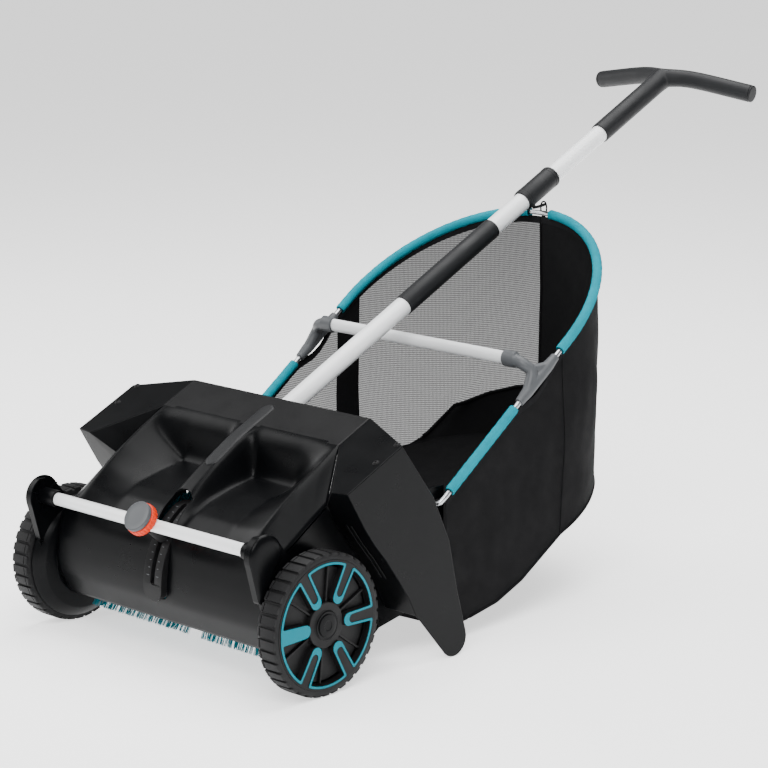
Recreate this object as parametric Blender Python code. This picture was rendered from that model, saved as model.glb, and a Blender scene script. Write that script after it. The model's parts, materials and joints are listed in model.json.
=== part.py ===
"""Push lawn sweeper: two wheels drive a roller brush that throws leaves into a hooped bag.

Metres, +Z up, ground at z = 0.  The front of the machine faces -Y and the handle rises towards +Y.
Outlines across the machine are (y, z) points measured from the wheel axle line at the ground.
"""
import math

import bmesh
import bpy
from mathutils import Matrix, Vector

# --- driving dimensions -------------------------------------------------------------------------
ORIGIN_Y = 0.5032          # wheel axle to the middle of the machine's length
GAP = 0.0003               # running gap between touching pieces
SIDES = (("right", 1), ("left", -1))

TREAD_R = 0.1000           # tyre without its lugs
LUG_HEIGHT = 0.0025
LUGS = 30
LUG_HALF_ANGLE = math.tau / LUGS / 4
AXLE_Z = (TREAD_R + LUG_HEIGHT) * math.cos(LUG_HALF_ANGLE)   # a flat lug rests on the ground
AXLE_R = 0.0062
TYRE_X = (0.2450, 0.2790)  # inner and outer side of the right tyre
RIM_R = 0.0920
FACE_X = 0.2795            # outer face of the rim
POCKET_FLOOR_X = 0.2700
HUB_PLATE_R = 0.0325
TRIM_X = (0.2797, 0.2806)  # turquoise line on the rim face

GEAR_MODULE = 0.003
RING_TEETH = 48
PINION_TEETH = 12
GEAR_CENTRES = GEAR_MODULE * (RING_TEETH - PINION_TEETH) / 2
BRUSH_DIRECTION = math.radians(12.8)      # from the axle to the brush, above +Y
BRUSH_Y = GEAR_CENTRES * math.cos(BRUSH_DIRECTION)
BRUSH_Z = AXLE_Z + GEAR_CENTRES * math.sin(BRUSH_DIRECTION)
BRUSH_TIP_R = 0.103
BRUSH_HALF_LENGTH = 0.2120
SHAFT_R = 0.0060

BAR_Y, BAR_Z, BAR_R = -0.0760, 0.2085, 0.0093
BAR_REACH = math.hypot(BAR_Y - BRUSH_Y, BAR_Z - BRUSH_Z)
BAR_ANGLE = math.atan2(BAR_Z - BRUSH_Z, BAR_Y - BRUSH_Y)
TRACK_R = 0.1250           # outer face of the height track, about the brush axis

HOOD_HALF_WIDTH = 0.2225
RIDGE_X = 0.1845           # side ridges of the hood
ROOF_SLOPE = 0.456
WALL = 0.0030              # moulded wall thickness
PLATE_X = 0.2840           # outer face of the side casings

TUBE_R, TUBE_BORE = 0.0145, 0.0133
TUBE_SLOPE = math.atan(0.4773)
HOOP_SLOPE = 0.71          # rise of the bag hoop per metre towards the rear
HOOP_Z0 = 0.0158           # height of the hoop's plane above the axle line
HOOP_X = 0.2320
HOOP_TURN_Y = 0.5600       # where the straight legs end
HOOP_APEX_Y = 0.7630
WIRE_R = 0.0040
BAG_BAR_Y, BAG_BAR_Z = 0.4750, 0.3915     # cross bar that spreads the bag
ROWS = 4                                  # bristle rows round each half of the brush
ROW_START = {"right": -110, "left": -125}  # degrees from the horizontal to each half's first row
KNOB_R, KNOB_CAP_R = 0.0242, 0.0228       # clamp knob's ring over its knurls, and its cap
CORE_R, SLOT_FLOOR_R, STRIP_HALF = 0.0220, 0.0120, 0.0022


# --- shared tools -------------------------------------------------------------------------------
def clear_scene():
    for item in list(bpy.data.objects):
        bpy.data.objects.remove(item, do_unlink=True)


def material(name, colour, roughness, metallic=0.0):
    mat = bpy.data.materials.new(name)
    mat.use_nodes = True
    shader = mat.node_tree.nodes["Principled BSDF"]
    shader.inputs["Base Color"].default_value = (*colour, 1.0)
    shader.inputs["Roughness"].default_value = roughness
    shader.inputs["Metallic"].default_value = metallic
    return mat


def empty(name, location, parent=None):
    item = bpy.data.objects.new(name, None)
    item.location = location
    item.parent = parent
    bpy.context.scene.collection.objects.link(item)
    return item


def add(name, bm, mat, pivot, smooth=35.0):
    """Turn a mesh built in machine coordinates into an object hung on its pivot."""
    bmesh.ops.translate(bm, vec=-pivot.location if pivot.parent else Vector(), verts=bm.verts[:])
    bmesh.ops.recalc_face_normals(bm, faces=bm.faces[:])
    mesh = bpy.data.meshes.new(name)
    bm.to_mesh(mesh)
    bm.free()
    mesh.materials.append(mat)
    mesh.shade_smooth()
    mesh.set_sharp_from_angle(angle=math.radians(smooth))
    item = bpy.data.objects.new(name, mesh)
    item.parent = pivot
    bpy.context.scene.collection.objects.link(item)
    return item


def combine(item, operation, bm, label):
    """Join or cut with a helper solid that stays hidden."""
    helper = add(f"{item.name}_{label}", bm, item.data.materials[0], item.parent)
    helper.hide_render = True
    helper.display_type = "WIRE"
    modifier = item.modifiers.new(label, "BOOLEAN")
    modifier.operation = operation
    modifier.object = helper


def mirrored(bm, side):
    if side < 0:
        bmesh.ops.scale(bm, vec=(-1, 1, 1), verts=bm.verts[:])
        bmesh.ops.reverse_faces(bm, faces=bm.faces[:])
    return bm


def prism(outlines, x_from, x_to):
    """Solid along X from (y, z) outlines: the first is the rim, the others are holes."""
    bm = bmesh.new()
    edges = []
    for outline in outlines:
        verts = [bm.verts.new((x_from, y, z)) for y, z in outline]
        edges += [bm.edges.new(pair) for pair in zip(verts, verts[1:] + verts[:1])]
    bmesh.ops.triangle_fill(bm, use_beauty=True, use_dissolve=False, edges=edges)
    grown = bmesh.ops.extrude_face_region(bm, geom=bm.faces[:])
    top = [v for v in grown["geom"] if isinstance(v, bmesh.types.BMVert)]
    bmesh.ops.translate(bm, vec=(x_to - x_from, 0, 0), verts=top)
    return bm


def circle(radius, centre=(0.0, 0.0), count=24, phase=0.0):
    turns = [phase + math.tau * i / count for i in range(count)]
    return [(centre[0] + radius * math.cos(t), centre[1] + radius * math.sin(t)) for t in turns]


def arc(radius, centre, start, stop, count):
    turns = [math.radians(start + (stop - start) * i / (count - 1)) for i in range(count)]
    return [(centre[0] + radius * math.cos(t), centre[1] + radius * math.sin(t)) for t in turns]


def offset(outline, distance):
    """Outline moved sideways: positive grows an anticlockwise one."""
    moved = []
    for i, point in enumerate(outline):
        before = Vector(point) - Vector(outline[i - 1])
        after = Vector(outline[(i + 1) % len(outline)]) - Vector(point)
        normal = (before.normalized() + after.normalized()).normalized()
        spread = max(0.5, before.normalized().dot(normal))
        moved.append((point[0] + normal.y * distance / spread, point[1] - normal.x * distance / spread))
    return moved


def lathe(profile, centre, segments=32):
    """Solid turned about X from a closed loop of (x, radius) points."""
    bm = bmesh.new()
    verts = [bm.verts.new((x, centre[0] + radius, centre[1])) for x, radius in profile]
    edges = [bm.edges.new(pair) for pair in zip(verts, verts[1:] + verts[:1])]
    bmesh.ops.spin(bm, geom=verts + edges, cent=(0, *centre), axis=(1, 0, 0),
                   angle=math.tau, steps=segments, use_merge=True)
    bmesh.ops.remove_doubles(bm, verts=bm.verts[:], dist=1e-6)
    bmesh.ops.dissolve_degenerate(bm, edges=bm.edges[:], dist=1e-6)
    return bm


def ring(x_from, x_to, radius, bore, centre=(0.0, 0.0), segments=24):
    return lathe([(x_from, bore), (x_from, radius), (x_to, radius), (x_to, bore)], centre, segments)


def rod(start, stop, radius, bore=0.0, segments=16):
    """Round bar or pipe between two points."""
    start, stop = Vector(start), Vector(stop)
    bm = ring(0.0, (stop - start).length, radius, bore, segments=segments)
    turn = Vector((1, 0, 0)).rotation_difference(stop - start).to_matrix().to_4x4()
    bmesh.ops.transform(bm, matrix=Matrix.Translation(start) @ turn, verts=bm.verts[:])
    return bm


def sweep(path, radius, bore=0.0, sides=8, flat=1.0, normal=None):
    """Round or oval section carried along a path, hollow when it has a bore.

    A flat path gives its plane's normal, so that pieces on one path keep their sections in step.
    """
    path = [Vector(p) for p in path]
    bm = bmesh.new()
    side = Vector((1, 0, 0))
    rings = []
    for i, point in enumerate(path):
        ahead = (path[min(i + 1, len(path) - 1)] - path[max(i - 1, 0)]).normalized()
        side = normal or side - ahead * side.dot(ahead)
        side = side.normalized() if side.length > 0.2 else ahead.orthogonal().normalized()
        across = ahead.cross(side)
        loops = []
        for size in (radius, bore):
            turns = [math.tau * k / sides for k in range(sides)]
            loops.append([bm.verts.new(point + size * (side * math.cos(t) + across * math.sin(t) * flat))
                          for t in turns] if size else [])
        rings.append(loops)
    shells = (0, 1) if bore else (0,)
    for near, far in zip(rings, rings[1:]):
        for s in shells:
            for k in range(sides):
                j = (k + 1) % sides
                bm.faces.new((near[s][k], near[s][j], far[s][j], far[s][k]))
    for loops in (rings[0], rings[-1]):
        if bore:
            for k in range(sides):
                j = (k + 1) % sides
                bm.faces.new((loops[0][k], loops[0][j], loops[1][j], loops[1][k]))
        else:
            bm.faces.new(loops[0])
    return bm


def block(corner_low, corner_high):
    (x0, y0, z0), (x1, y1, z1) = corner_low, corner_high
    return prism([[(y0, z0), (y1, z0), (y1, z1), (y0, z1)]], x0, x1)


def sheet(faces):
    """Flat faces joined where they share edges."""
    bm = bmesh.new()
    for face in faces:
        bm.faces.new([bm.verts.new(p) for p in face])
    bmesh.ops.remove_doubles(bm, verts=bm.verts[:], dist=1e-5)
    return bm


# --- housing ------------------------------------------------------------------------------------
FRONT = [(-0.0385, 0.0565), (-0.0600, 0.0945), (-0.0625, 0.1150), (-0.0600, 0.1385), (-0.0545, 0.1745)]
CREASE, ROOF_REAR = (0.1195, 0.3198), (0.1820, 0.3483)
TOP = FRONT + [(-0.0500, 0.1970), (-0.0350, 0.2215), (0.0000, 0.2490), (0.0370, 0.2745),
               (0.0850, 0.3030), (0.1120, 0.3163), CREASE, ROOF_REAR]
FLOOR = FRONT + [(-0.0430, 0.1965), (-0.0200, 0.2165), (0.0100, 0.2310), (0.0500, 0.2420),
                 (0.1000, 0.2505), (0.1080, 0.3120), CREASE, ROOF_REAR]
EDGE = FRONT + [(-0.0480, 0.1860), (-0.0360, 0.1940), (-0.0105, 0.2081), (0.0100, 0.2218),
                (0.0244, 0.2311), (0.0420, 0.2422), (0.0570, 0.2516)]
CASING_FRONT = [(0.0570, 0.2516), (0.0700, 0.2257), (0.0900, 0.1980), (0.1124, 0.1719),
                (0.1389, 0.1362), (0.1594, 0.1055), (0.1735, 0.0775)]


def hood_section(x):
    """Hood outline at one station: rib and ridges stand proud of two sunk pockets."""
    stations = ((0.0, TOP), (0.018, TOP), (0.027, FLOOR), (0.120, FLOOR), (RIDGE_X, TOP))
    x = abs(x)
    for (x0, low), (x1, high) in zip(stations, stations[1:]):
        if x <= x1 + 1e-9:
            t = (x - x0) / (x1 - x0)
            return [tuple(Vector(a).lerp(Vector(b), t)) for a, b in zip(low, high)]
    return EDGE


def hood(mats, machine):
    half = [0.0, 0.018, 0.027, 0.075, 0.120, 0.152, RIDGE_X, HOOD_HALF_WIDTH]
    stations = [-x for x in half[:0:-1]] + half
    faces = []
    for x0, x1 in zip(stations, stations[1:]):
        near, far = hood_section(x0), hood_section(x1)
        for i in range(min(len(near), len(far)) - 1):
            faces.append([(x0, *near[i]), (x1, *far[i]), (x1, *far[i + 1]), (x0, *near[i + 1])])
    item = add("hood", sheet(faces), mats["black_plastic"], machine)
    solidify = item.modifiers.new("wall", "SOLIDIFY")
    solidify.thickness = WALL
    solidify.offset = -1
    solidify.use_even_offset = True
    window = sector(0.0950, 0.1700, 113.0, 191.0, 0.0197)
    combine(item, "DIFFERENCE", window, "window")


def sector(r_in, r_out, start, stop, half_width, count=12):
    """Part of a drum around the brush axis."""
    centre = (BRUSH_Y, BRUSH_Z)
    outline = arc(r_out, centre, start, stop, count) + arc(r_in, centre, stop, start, count)
    return prism([outline], -half_width, half_width)


def height_track(mats, machine):
    frame = sector(0.1098, TRACK_R, 113.2, 190.0, 0.0193)
    item = add("height_track", frame, mats["black_plastic"], machine)
    combine(item, "UNION", sector(0.1072, 0.1106, 114.0, 187.0, 0.0260), "flange")
    combine(item, "DIFFERENCE", sector(0.1000, 0.1300, 117.5, 178.0, 0.0055), "slot")


def side_wall(mats, machine, name, side):
    behind = [(y + 0.0150, z) for y, z in CASING_FRONT[1:]]
    rim = offset(EDGE + behind + [(0.1500, 0.0480), (0.0900, 0.0300), (-0.0200, 0.0470)], WALL + 2 * GAP)
    hole = circle(0.0120, (BRUSH_Y, BRUSH_Z), 16)
    wall = prism([rim, hole], 0.2192, 0.2222)
    add(f"side_wall_{name}", mirrored(wall, side), mats["black_plastic"], machine)


def roof(x, y):
    """Point on the flat roof, which the shoulders of the side casings carry on."""
    return (x, y, CREASE[1] + ROOF_SLOPE * (y - CREASE[0]))


def side_casing(mats, machine, name, side):
    """Shoulder, outer plate with its foot, and the wall that faces the wheel."""
    inner_x = HOOD_HALF_WIDTH + 0.0001
    a, b = roof(0.1850, CREASE[0]), roof(0.1850, 0.1830)
    c, d, f = roof(PLATE_X, 0.1450), roof(PLATE_X, 0.0360), roof(0.2560, 0.0330)
    e = (inner_x, CASING_FRONT[0][0] + 0.0006, CASING_FRONT[0][1])
    front = CASING_FRONT[1:]
    foot_r = 0.0260
    foot = arc(foot_r, (0.2535, foot_r * math.cos(math.radians(15))), 15, -135, 6)
    rear = [(0.2104, 0.2440), (0.2421, 0.1765), (0.2597, 0.0985)]
    plate = [d, c] + [(PLATE_X, *p) for p in rear + foot + [(0.1900, 0.0600)] + front[::-1]]
    faces = [[a, b, c, d, f], plate, [a, f, e], [e, f, d, (PLATE_X, *front[0])]]
    faces[3].append((inner_x, *front[0]))
    for (y0, z0), (y1, z1) in zip(front, front[1:]):
        faces.append([(inner_x, y0, z0), (PLATE_X, y0, z0), (PLATE_X, y1, z1), (inner_x, y1, z1)])
    item = add(f"side_casing_{name}", mirrored(sheet(faces), side), mats["black_plastic"], machine)
    solidify = item.modifiers.new("wall", "SOLIDIFY")
    solidify.thickness = WALL
    solidify.offset = -1
    solidify.use_even_offset = True


def rear_chute(mats, machine):
    """Ramp behind the brush, with two ears that carry the bag hoop."""
    ramp = [(0.1050, 0.0180), (0.1350, 0.0300), (0.1650, 0.0520), (0.3000, 0.0780)]
    outline = ramp + [(y, z - WALL) for y, z in ramp[::-1]]
    item = add("rear_chute", prism([outline], -0.2188, 0.2188), mats["black_plastic"], machine)
    pivot_y, pivot_z = hoop_end()
    slot = WIRE_R + 0.0006
    ear = [(0.1650, 0.0490), (0.3000, 0.0750), (0.3000, pivot_z - slot), (pivot_y - slot, pivot_z - slot),
           (pivot_y - slot, pivot_z + slot), (0.3000, pivot_z + slot), (0.3000, 0.2350),
           (0.2600, 0.2350), (0.1650, 0.1300)]
    for name, side in SIDES:
        combine(item, "UNION", mirrored(prism([ear], 0.2160, 0.2188), side), f"ear_{name}")


def brush_bush(mats, machine, name, side):
    profile = [(0.2162, 0.0063), (0.2162, 0.0160), (0.2189, 0.0160), (0.2189, 0.0117),
               (0.2275, 0.0117), (0.2275, 0.0063)]
    add(f"brush_bush_{name}", mirrored(lathe(profile, (BRUSH_Y, BRUSH_Z), 16), side),
        mats["grey_plastic"], machine)


# --- handle -------------------------------------------------------------------------------------
def on_tube(y, drop=0.0):
    """Point on the handle's axis, or below it at right angles."""
    z = 0.3426 + math.tan(TUBE_SLOPE) * (y - 0.2188)
    return Vector((0, y + drop * math.sin(TUBE_SLOPE), z - drop * math.cos(TUBE_SLOPE)))


def handle(mats, machine):
    grip = mats["charcoal_plastic"]
    add("lower_tube", rod(on_tube(0.082), on_tube(0.545), TUBE_R, TUBE_BORE, 20), mats["white_metal"], machine)
    add("upper_tube", rod(on_tube(0.5456), on_tube(1.030), TUBE_R, TUBE_BORE, 20), mats["white_metal"], machine)
    add("tube_sleeve", rod(on_tube(0.4446), on_tube(0.6457), 0.0160, TUBE_R + GAP, 20), grip, machine)
    handle_socket(mats, machine)
    hook_collar(mats, machine)
    t_handle(mats, machine)


def handle_socket(mats, machine):
    """Trough under the roof that the lower tube rests in."""
    item = add("handle_socket", rod(on_tube(0.088), on_tube(0.160), 0.0175, TUBE_R + GAP, 20),
               mats["black_plastic"], machine)
    top = block((-0.03, -0.06, 0.0), (0.03, 0.06, 0.05))
    lift = Matrix.Translation(on_tube(0.124)) @ Matrix.Rotation(TUBE_SLOPE, 4, "X")
    bmesh.ops.transform(top, matrix=lift, verts=top.verts[:])
    combine(item, "DIFFERENCE", top, "open_top")


def hook_collar(mats, machine):
    item = add("hook_collar", rod(on_tube(0.7172), on_tube(0.7882), 0.0172, TUBE_R + GAP, 20),
               mats["charcoal_plastic"], machine)
    combine(item, "UNION", rod(on_tube(0.7365, 0.0160), on_tube(0.7365, 0.0255), 0.0028, segments=8), "stem")
    combine(item, "UNION", block((-0.0026, 0.7440, 0.5665), (0.0026, 0.7740, 0.5705)), "finger")


def t_handle(mats, machine):
    item = add("t_handle", rod(on_tube(0.9054), on_tube(1.0500), 0.0165, TUBE_R + GAP, 20),
               mats["charcoal_plastic"], machine)
    tip = Vector((0.1560, 1.1026, 0.7320))
    middle = on_tube(1.0680)
    path = [(-tip.x, tip.y, tip.z), (-0.05, 1.0830, 0.7485), middle, (0.05, 1.0830, 0.7485), tip]
    combine(item, "UNION", sweep(path, 0.0143, sides=16), "arms")
    combine(item, "UNION", rod(on_tube(1.0495), middle, 0.0165, segments=20), "neck")
    for name, side in SIDES:
        end = Vector((side * tip.x, tip.y, tip.z))
        outward = (end - Vector((side * 0.05, 1.0830, 0.7485))).normalized()
        cap = rod(end + outward * GAP * 2, end + outward * 0.0036, 0.0140)
        add(f"grip_cap_{name}", cap, mats["charcoal_plastic"], machine)


# --- height adjuster ----------------------------------------------------------------------------
def cup_outline(shrink=0.0):
    """Teardrop around the bar's end, kept clear of the housing by an arc about the brush axis."""
    centre = (BAR_Y, BAR_Z)
    radius = 0.0300 - shrink
    keep_out = 0.1300 + shrink
    inner = arc(keep_out, (BRUSH_Y, BRUSH_Z), 166 - 150 * shrink, 148, 5)
    head = arc(radius, centre, -6, 205, 12)
    tail = [(-0.0880 + shrink, 0.1400 + 2.4 * shrink)]
    return inner + head + tail


def arm(mats, pivot, name, side):
    """Swinging arm: dished gear cover with a shallow cup round the end of the cross bar."""
    axle = (0.0, AXLE_Z)
    dish = [(0.2280, 0.0), (0.2280, 0.0800), (0.2405, 0.0940), (0.2435, 0.0940), (0.2435, 0.0)]
    hollow = [(0.2305, 0.0150), (0.2305, 0.0775), (0.2415, 0.0912), (0.2600, 0.0912), (0.2600, 0.0150)]
    neck = arc(0.0300, (BAR_Y, BAR_Z), 30, 195, 8) + arc(0.0880, axle, 160, 105, 6)
    item = add(f"arm_{name}", mirrored(lathe(dish, axle, 28), side), mats["black_plastic"], pivot)
    combine(item, "UNION", mirrored(prism([neck], 0.2330, 0.2390), side), "neck")
    combine(item, "UNION", mirrored(prism([cup_outline()], 0.2265, 0.2382), side), "cup")
    combine(item, "DIFFERENCE", mirrored(prism([cup_outline(0.0025)], 0.1900, 0.2352), side), "cup_hollow")
    combine(item, "DIFFERENCE", mirrored(lathe(hollow, axle, 24), side), "gear_space")
    socket = ring(0.2000, 0.2360, 0.0125, BAR_R + GAP, (BAR_Y, BAR_Z), 20)
    combine(item, "UNION", mirrored(socket, side), "bar_socket")
    shaft_hole = ring(0.2200, 0.2450, 0.0075, 0.0, (BRUSH_Y, BRUSH_Z), 20)
    combine(item, "DIFFERENCE", mirrored(shaft_hole, side), "shaft_hole")
    axle_hole = ring(0.2200, 0.2600, AXLE_R + GAP, 0.0, axle, 20)
    combine(item, "DIFFERENCE", mirrored(axle_hole, side), "axle_hole")


def radial(reach, x=0.0):
    """Point on the clamp bolt's line, which runs from the brush axis through the bar."""
    return Vector((x, BRUSH_Y + reach * math.cos(BAR_ANGLE), BRUSH_Z + reach * math.sin(BAR_ANGLE)))


def adjuster(mats, pivot, knob_pivot):
    bolt_r = 0.0030
    bolt_hole = rod(radial(0.12), radial(0.18), bolt_r + GAP)
    bar = add("cross_bar", rod((-0.2345, BAR_Y, BAR_Z), (0.2345, BAR_Y, BAR_Z), BAR_R, 0.0081, 20),
              mats["white_metal"], pivot)
    combine(bar, "DIFFERENCE", bolt_hole, "bolt_hole")
    foot = add("clamp_foot", rod(radial(TRACK_R + 0.0006), radial(BAR_REACH - BAR_R + 0.004), 0.0130, segments=20),
               mats["black_plastic"], pivot)
    groove = rod((-0.03, BAR_Y, BAR_Z), (0.03, BAR_Y, BAR_Z), BAR_R + GAP, segments=20)
    combine(foot, "DIFFERENCE", groove, "bar_seat")
    combine(foot, "DIFFERENCE", rod(radial(0.12), radial(0.18), bolt_r + GAP), "bolt_hole")
    bolt = add("clamp_bolt", rod(radial(0.1060), radial(BAR_REACH + 0.0200), bolt_r), mats["steel"], pivot)
    combine(bolt, "UNION", rod(radial(0.1038), radial(0.1067), 0.0070, segments=6), "head")
    for name, side in SIDES:
        arm(mats, pivot, name, side)
        pin = ring(0.2290, 0.2780, AXLE_R, 0.0, (0.0, AXLE_Z), 20)
        add(f"axle_{name}", mirrored(pin, side), mats["steel"], pivot)
    knob_ring(mats, knob_pivot, bolt_r)


def knob_ring(mats, pivot, bolt_r):
    """Knurled ring with a smooth cap over the end of the bolt."""
    base, height, lobes = BAR_REACH + BAR_R + 0.0010, 0.0110, 16
    crests, valleys = circle(KNOB_R, count=lobes * 2), circle(KNOB_R - 0.0008, count=lobes * 2)
    knurl = [crests[i] if i % 2 == 0 else valleys[i] for i in range(lobes * 2)]
    outward = radial(1.0) - radial(0.0)
    stand = Vector((1, 0, 0)).rotation_difference(outward).to_matrix().to_4x4()
    turn = Matrix.Translation(radial(base)) @ stand
    grip = prism([knurl, circle(bolt_r + GAP, count=12)], 0.0, height)
    bmesh.ops.transform(grip, matrix=turn, verts=grip.verts[:])
    add("knob_ring", grip, mats["orange_plastic"], pivot)
    cap = lathe([(height + GAP, 0.0), (height + GAP, KNOB_CAP_R), (height + 0.0060, KNOB_CAP_R),
                 (height + 0.0080, KNOB_CAP_R - 0.0023), (height + 0.0080, 0.0)], (0.0, 0.0), 28)
    bmesh.ops.transform(cap, matrix=turn, verts=cap.verts[:])
    add("knob_cap", cap, mats["grey_plastic"], pivot)


# --- wheels and their gears ---------------------------------------------------------------------
def tyre(mats, pivot, name, side):
    outline = []
    for i in range(LUGS):
        step = math.tau / LUGS
        for part, radius in ((0.05, TREAD_R + LUG_HEIGHT), (0.55, TREAD_R + LUG_HEIGHT),
                             (0.65, TREAD_R), (0.95, TREAD_R)):
            turn = (i + part - 0.30) * step - math.pi / 2
            outline.append((radius * math.cos(turn), AXLE_Z + radius * math.sin(turn)))
    bore = circle(RIM_R + GAP, (0.0, AXLE_Z), 24)
    add(f"tyre_{name}", mirrored(prism([outline, bore], *TYRE_X), side), mats["tyre_rubber"], pivot)


def star(outer, tip, narrow, wide, plain_spoke=None):
    """Closed line round the rim face: six round-ended fingers reach in from the rim, with lobes between.

    The fingers' ends have radius narrow and stop at tip from the axle.  A plain spoke has no finger.
    """
    points = []
    for k in range(6):
        spoke = math.tau * k / 6
        root = math.asin(wide / outer)
        if k != plain_spoke:
            end = [(tip + narrow - narrow * math.sin(t), -narrow * math.cos(t))
                   for t in (math.pi * i / 4 for i in range(5))]
            for along, across in end:
                points.append((along * math.cos(spoke) - across * math.sin(spoke),
                               AXLE_Z + along * math.sin(spoke) + across * math.cos(spoke)))
        for i in range(4):
            turn = spoke + root + (math.tau / 6 - 2 * root) * i / 3
            points.append((outer * math.cos(turn), AXLE_Z + outer * math.sin(turn)))
    return points


def rim(mats, pivot, name, side):
    profile = [(0.2475, 0.0800), (0.2475, RIM_R), (FACE_X, RIM_R), (FACE_X, 0.0200), (0.2784, 0.0200),
               (0.2784, 0.0065), (0.2520, 0.0065), (0.2520, 0.0140), (0.2680, 0.0160), (0.2680, 0.0800)]
    item = add(f"rim_{name}", mirrored(lathe(profile, (0.0, AXLE_Z), 24), side), mats["black_plastic"], pivot)
    lobes = star(0.0852, 0.0322, 0.0098, 0.0112)
    pockets = prism([lobes, circle(HUB_PLATE_R - 0.0010, (0.0, AXLE_Z), 24)], POCKET_FLOOR_X, 0.2900)
    combine(item, "DIFFERENCE", mirrored(pockets, side), "pockets")


def gear_outline(teeth, tip_r, root_r, centre, tooth_at, tooth_share=0.40):
    """Straight-sided teeth, narrower at the tip, with one tooth pointing along tooth_at."""
    step = math.tau / teeth
    outline = []
    for i in range(teeth):
        for part, radius in ((-0.62, root_r), (-0.24, tip_r), (0.24, tip_r), (0.62, root_r)):
            turn = tooth_at + step * (i + part * tooth_share)
            outline.append((centre[0] + radius * math.cos(turn), centre[1] + radius * math.sin(turn)))
    return outline


def wheel(mats, pivot, pinion_pivot, name, side):
    tyre(mats, pivot, name, side)
    rim(mats, pivot, name, side)
    axle = (0.0, AXLE_Z)
    rim_side = star(0.0888, 0.0425, 0.0063, 0.0080, plain_spoke=3)
    pocket_side = star(0.0855, 0.0325, 0.0095, 0.0110)
    trim = prism([rim_side, pocket_side], *TRIM_X)
    add(f"rim_trim_{name}", mirrored(trim, side), mats["turquoise_plastic"], pivot)
    cap = lathe([(0.2787, 0.0), (0.2787, 0.0195), (0.2805, 0.0195), (0.2815, 0.0180), (0.2815, 0.0)], axle, 24)
    add(f"hub_cap_{name}", mirrored(cap, side), mats["black_plastic"], pivot)
    pitch = GEAR_MODULE * RING_TEETH / 2
    inside = gear_outline(RING_TEETH, pitch - 0.0024, pitch + 0.0033, axle,
                          BRUSH_DIRECTION + math.pi / RING_TEETH)
    gear = prism([circle(0.0797, axle, 24), inside], 0.2500, 0.2677)
    add(f"ring_gear_{name}", mirrored(gear, side), mats["grey_plastic"], pivot)
    pitch = GEAR_MODULE * PINION_TEETH / 2
    brush = (BRUSH_Y, BRUSH_Z)
    teeth = gear_outline(PINION_TEETH, pitch + 0.0024, pitch - 0.0033, brush, BRUSH_DIRECTION)
    pinion = prism([teeth, circle(SHAFT_R + GAP, brush, 16)], 0.2515, 0.2665)
    add(f"pinion_{name}", mirrored(pinion, side), mats["grey_plastic"], pinion_pivot)


# --- brush --------------------------------------------------------------------------------------

def core_outline(phase):
    """Round core with a groove for each bristle strip."""
    outline = []
    half = STRIP_HALF + GAP
    lip = math.asin(half / CORE_R)
    for k in range(ROWS):
        turn = phase + math.tau * k / ROWS
        for along, across in ((CORE_R * math.cos(lip), -half), (SLOT_FLOOR_R, -half),
                              (SLOT_FLOOR_R, half), (CORE_R * math.cos(lip), half)):
            outline.append((BRUSH_Y + along * math.cos(turn) - across * math.sin(turn),
                            BRUSH_Z + along * math.sin(turn) + across * math.cos(turn)))
        for share in (0.25, 0.5, 0.75):
            angle = turn + math.tau / ROWS * share
            outline.append((BRUSH_Y + CORE_R * math.cos(angle), BRUSH_Z + CORE_R * math.sin(angle)))
    return outline


def bristle_strip(x_from, x_to, turn, tufts=8):
    """Comb of tufts standing on one strip, pointing away from the brush axis."""
    base, root = SLOT_FLOOR_R + GAP, 0.0340
    pitch = (x_to - x_from) / tufts
    outline = [(x_to, base), (x_from, base)]
    for i in range(tufts):
        start = x_from + pitch * i
        outline += [(start + pitch * 0.08, root), (start, BRUSH_TIP_R), (start + pitch * 0.86, BRUSH_TIP_R),
                    (start + pitch * 0.92, root)]
    outline = [(BRUSH_Z + r, x) for x, r in outline]
    bm = prism([outline], -STRIP_HALF, STRIP_HALF)
    stand = Matrix(((0, 0, 1, 0), (1, 0, 0, BRUSH_Y), (0, 1, 0, 0), (0, 0, 0, 1)))
    bmesh.ops.transform(bm, matrix=stand, verts=bm.verts[:])
    centre = Matrix.Translation((0, BRUSH_Y, BRUSH_Z))
    spin = centre @ Matrix.Rotation(turn - math.pi / 2, 4, "X") @ centre.inverted()
    bmesh.ops.transform(bm, matrix=spin, verts=bm.verts[:])
    return bm


def brush(mats, pivot):
    centre = (BRUSH_Y, BRUSH_Z)
    add("brush_shaft", ring(-0.2672, 0.2672, SHAFT_R, 0.0, centre, 16), mats["steel"], pivot)
    for name, side in SIDES:
        phase = math.radians(ROW_START[name])
        ends = sorted((side * 0.0006, side * BRUSH_HALF_LENGTH))
        core = prism([core_outline(phase), circle(SHAFT_R + GAP, centre, 16)], *ends)
        add(f"brush_core_{name}", core, mats["grey_plastic"], pivot)
        for k in range(ROWS):
            strip = bristle_strip(ends[0] + 0.001, ends[1] - 0.001, phase + math.tau * k / ROWS)
            add(f"bristle_strip_{name}_{k + 1}", strip, mats["turquoise_bristle"], pivot)


# --- bag ----------------------------------------------------------------------------------------
def hoop_end():
    return 0.2760, HOOP_Z0 + HOOP_SLOPE * 0.2760


def hoop_point(s):
    """Half of the hoop from a leg's lower end (0) through the turn (1) to the apex (2)."""
    if s <= 1:
        x, y = HOOP_X, 0.2900 + (HOOP_TURN_Y - 0.2900) * s
    else:
        turn = (s - 1) * math.pi / 2
        x = HOOP_X * math.cos(turn)
        y = HOOP_TURN_Y + (HOOP_APEX_Y - HOOP_TURN_Y) * math.sin(turn)
    return Vector((x, y, HOOP_Z0 + HOOP_SLOPE * y))


HOOP_NORMAL = Vector((0, -HOOP_SLOPE, 1)).normalized()
HOOP_STATIONS = [0.0, 0.03, 0.29, 0.55, 0.59, 0.74, 0.89, 0.93] + [1 + i / 9 for i in range(9)] + [1.94, 2.0]


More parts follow.
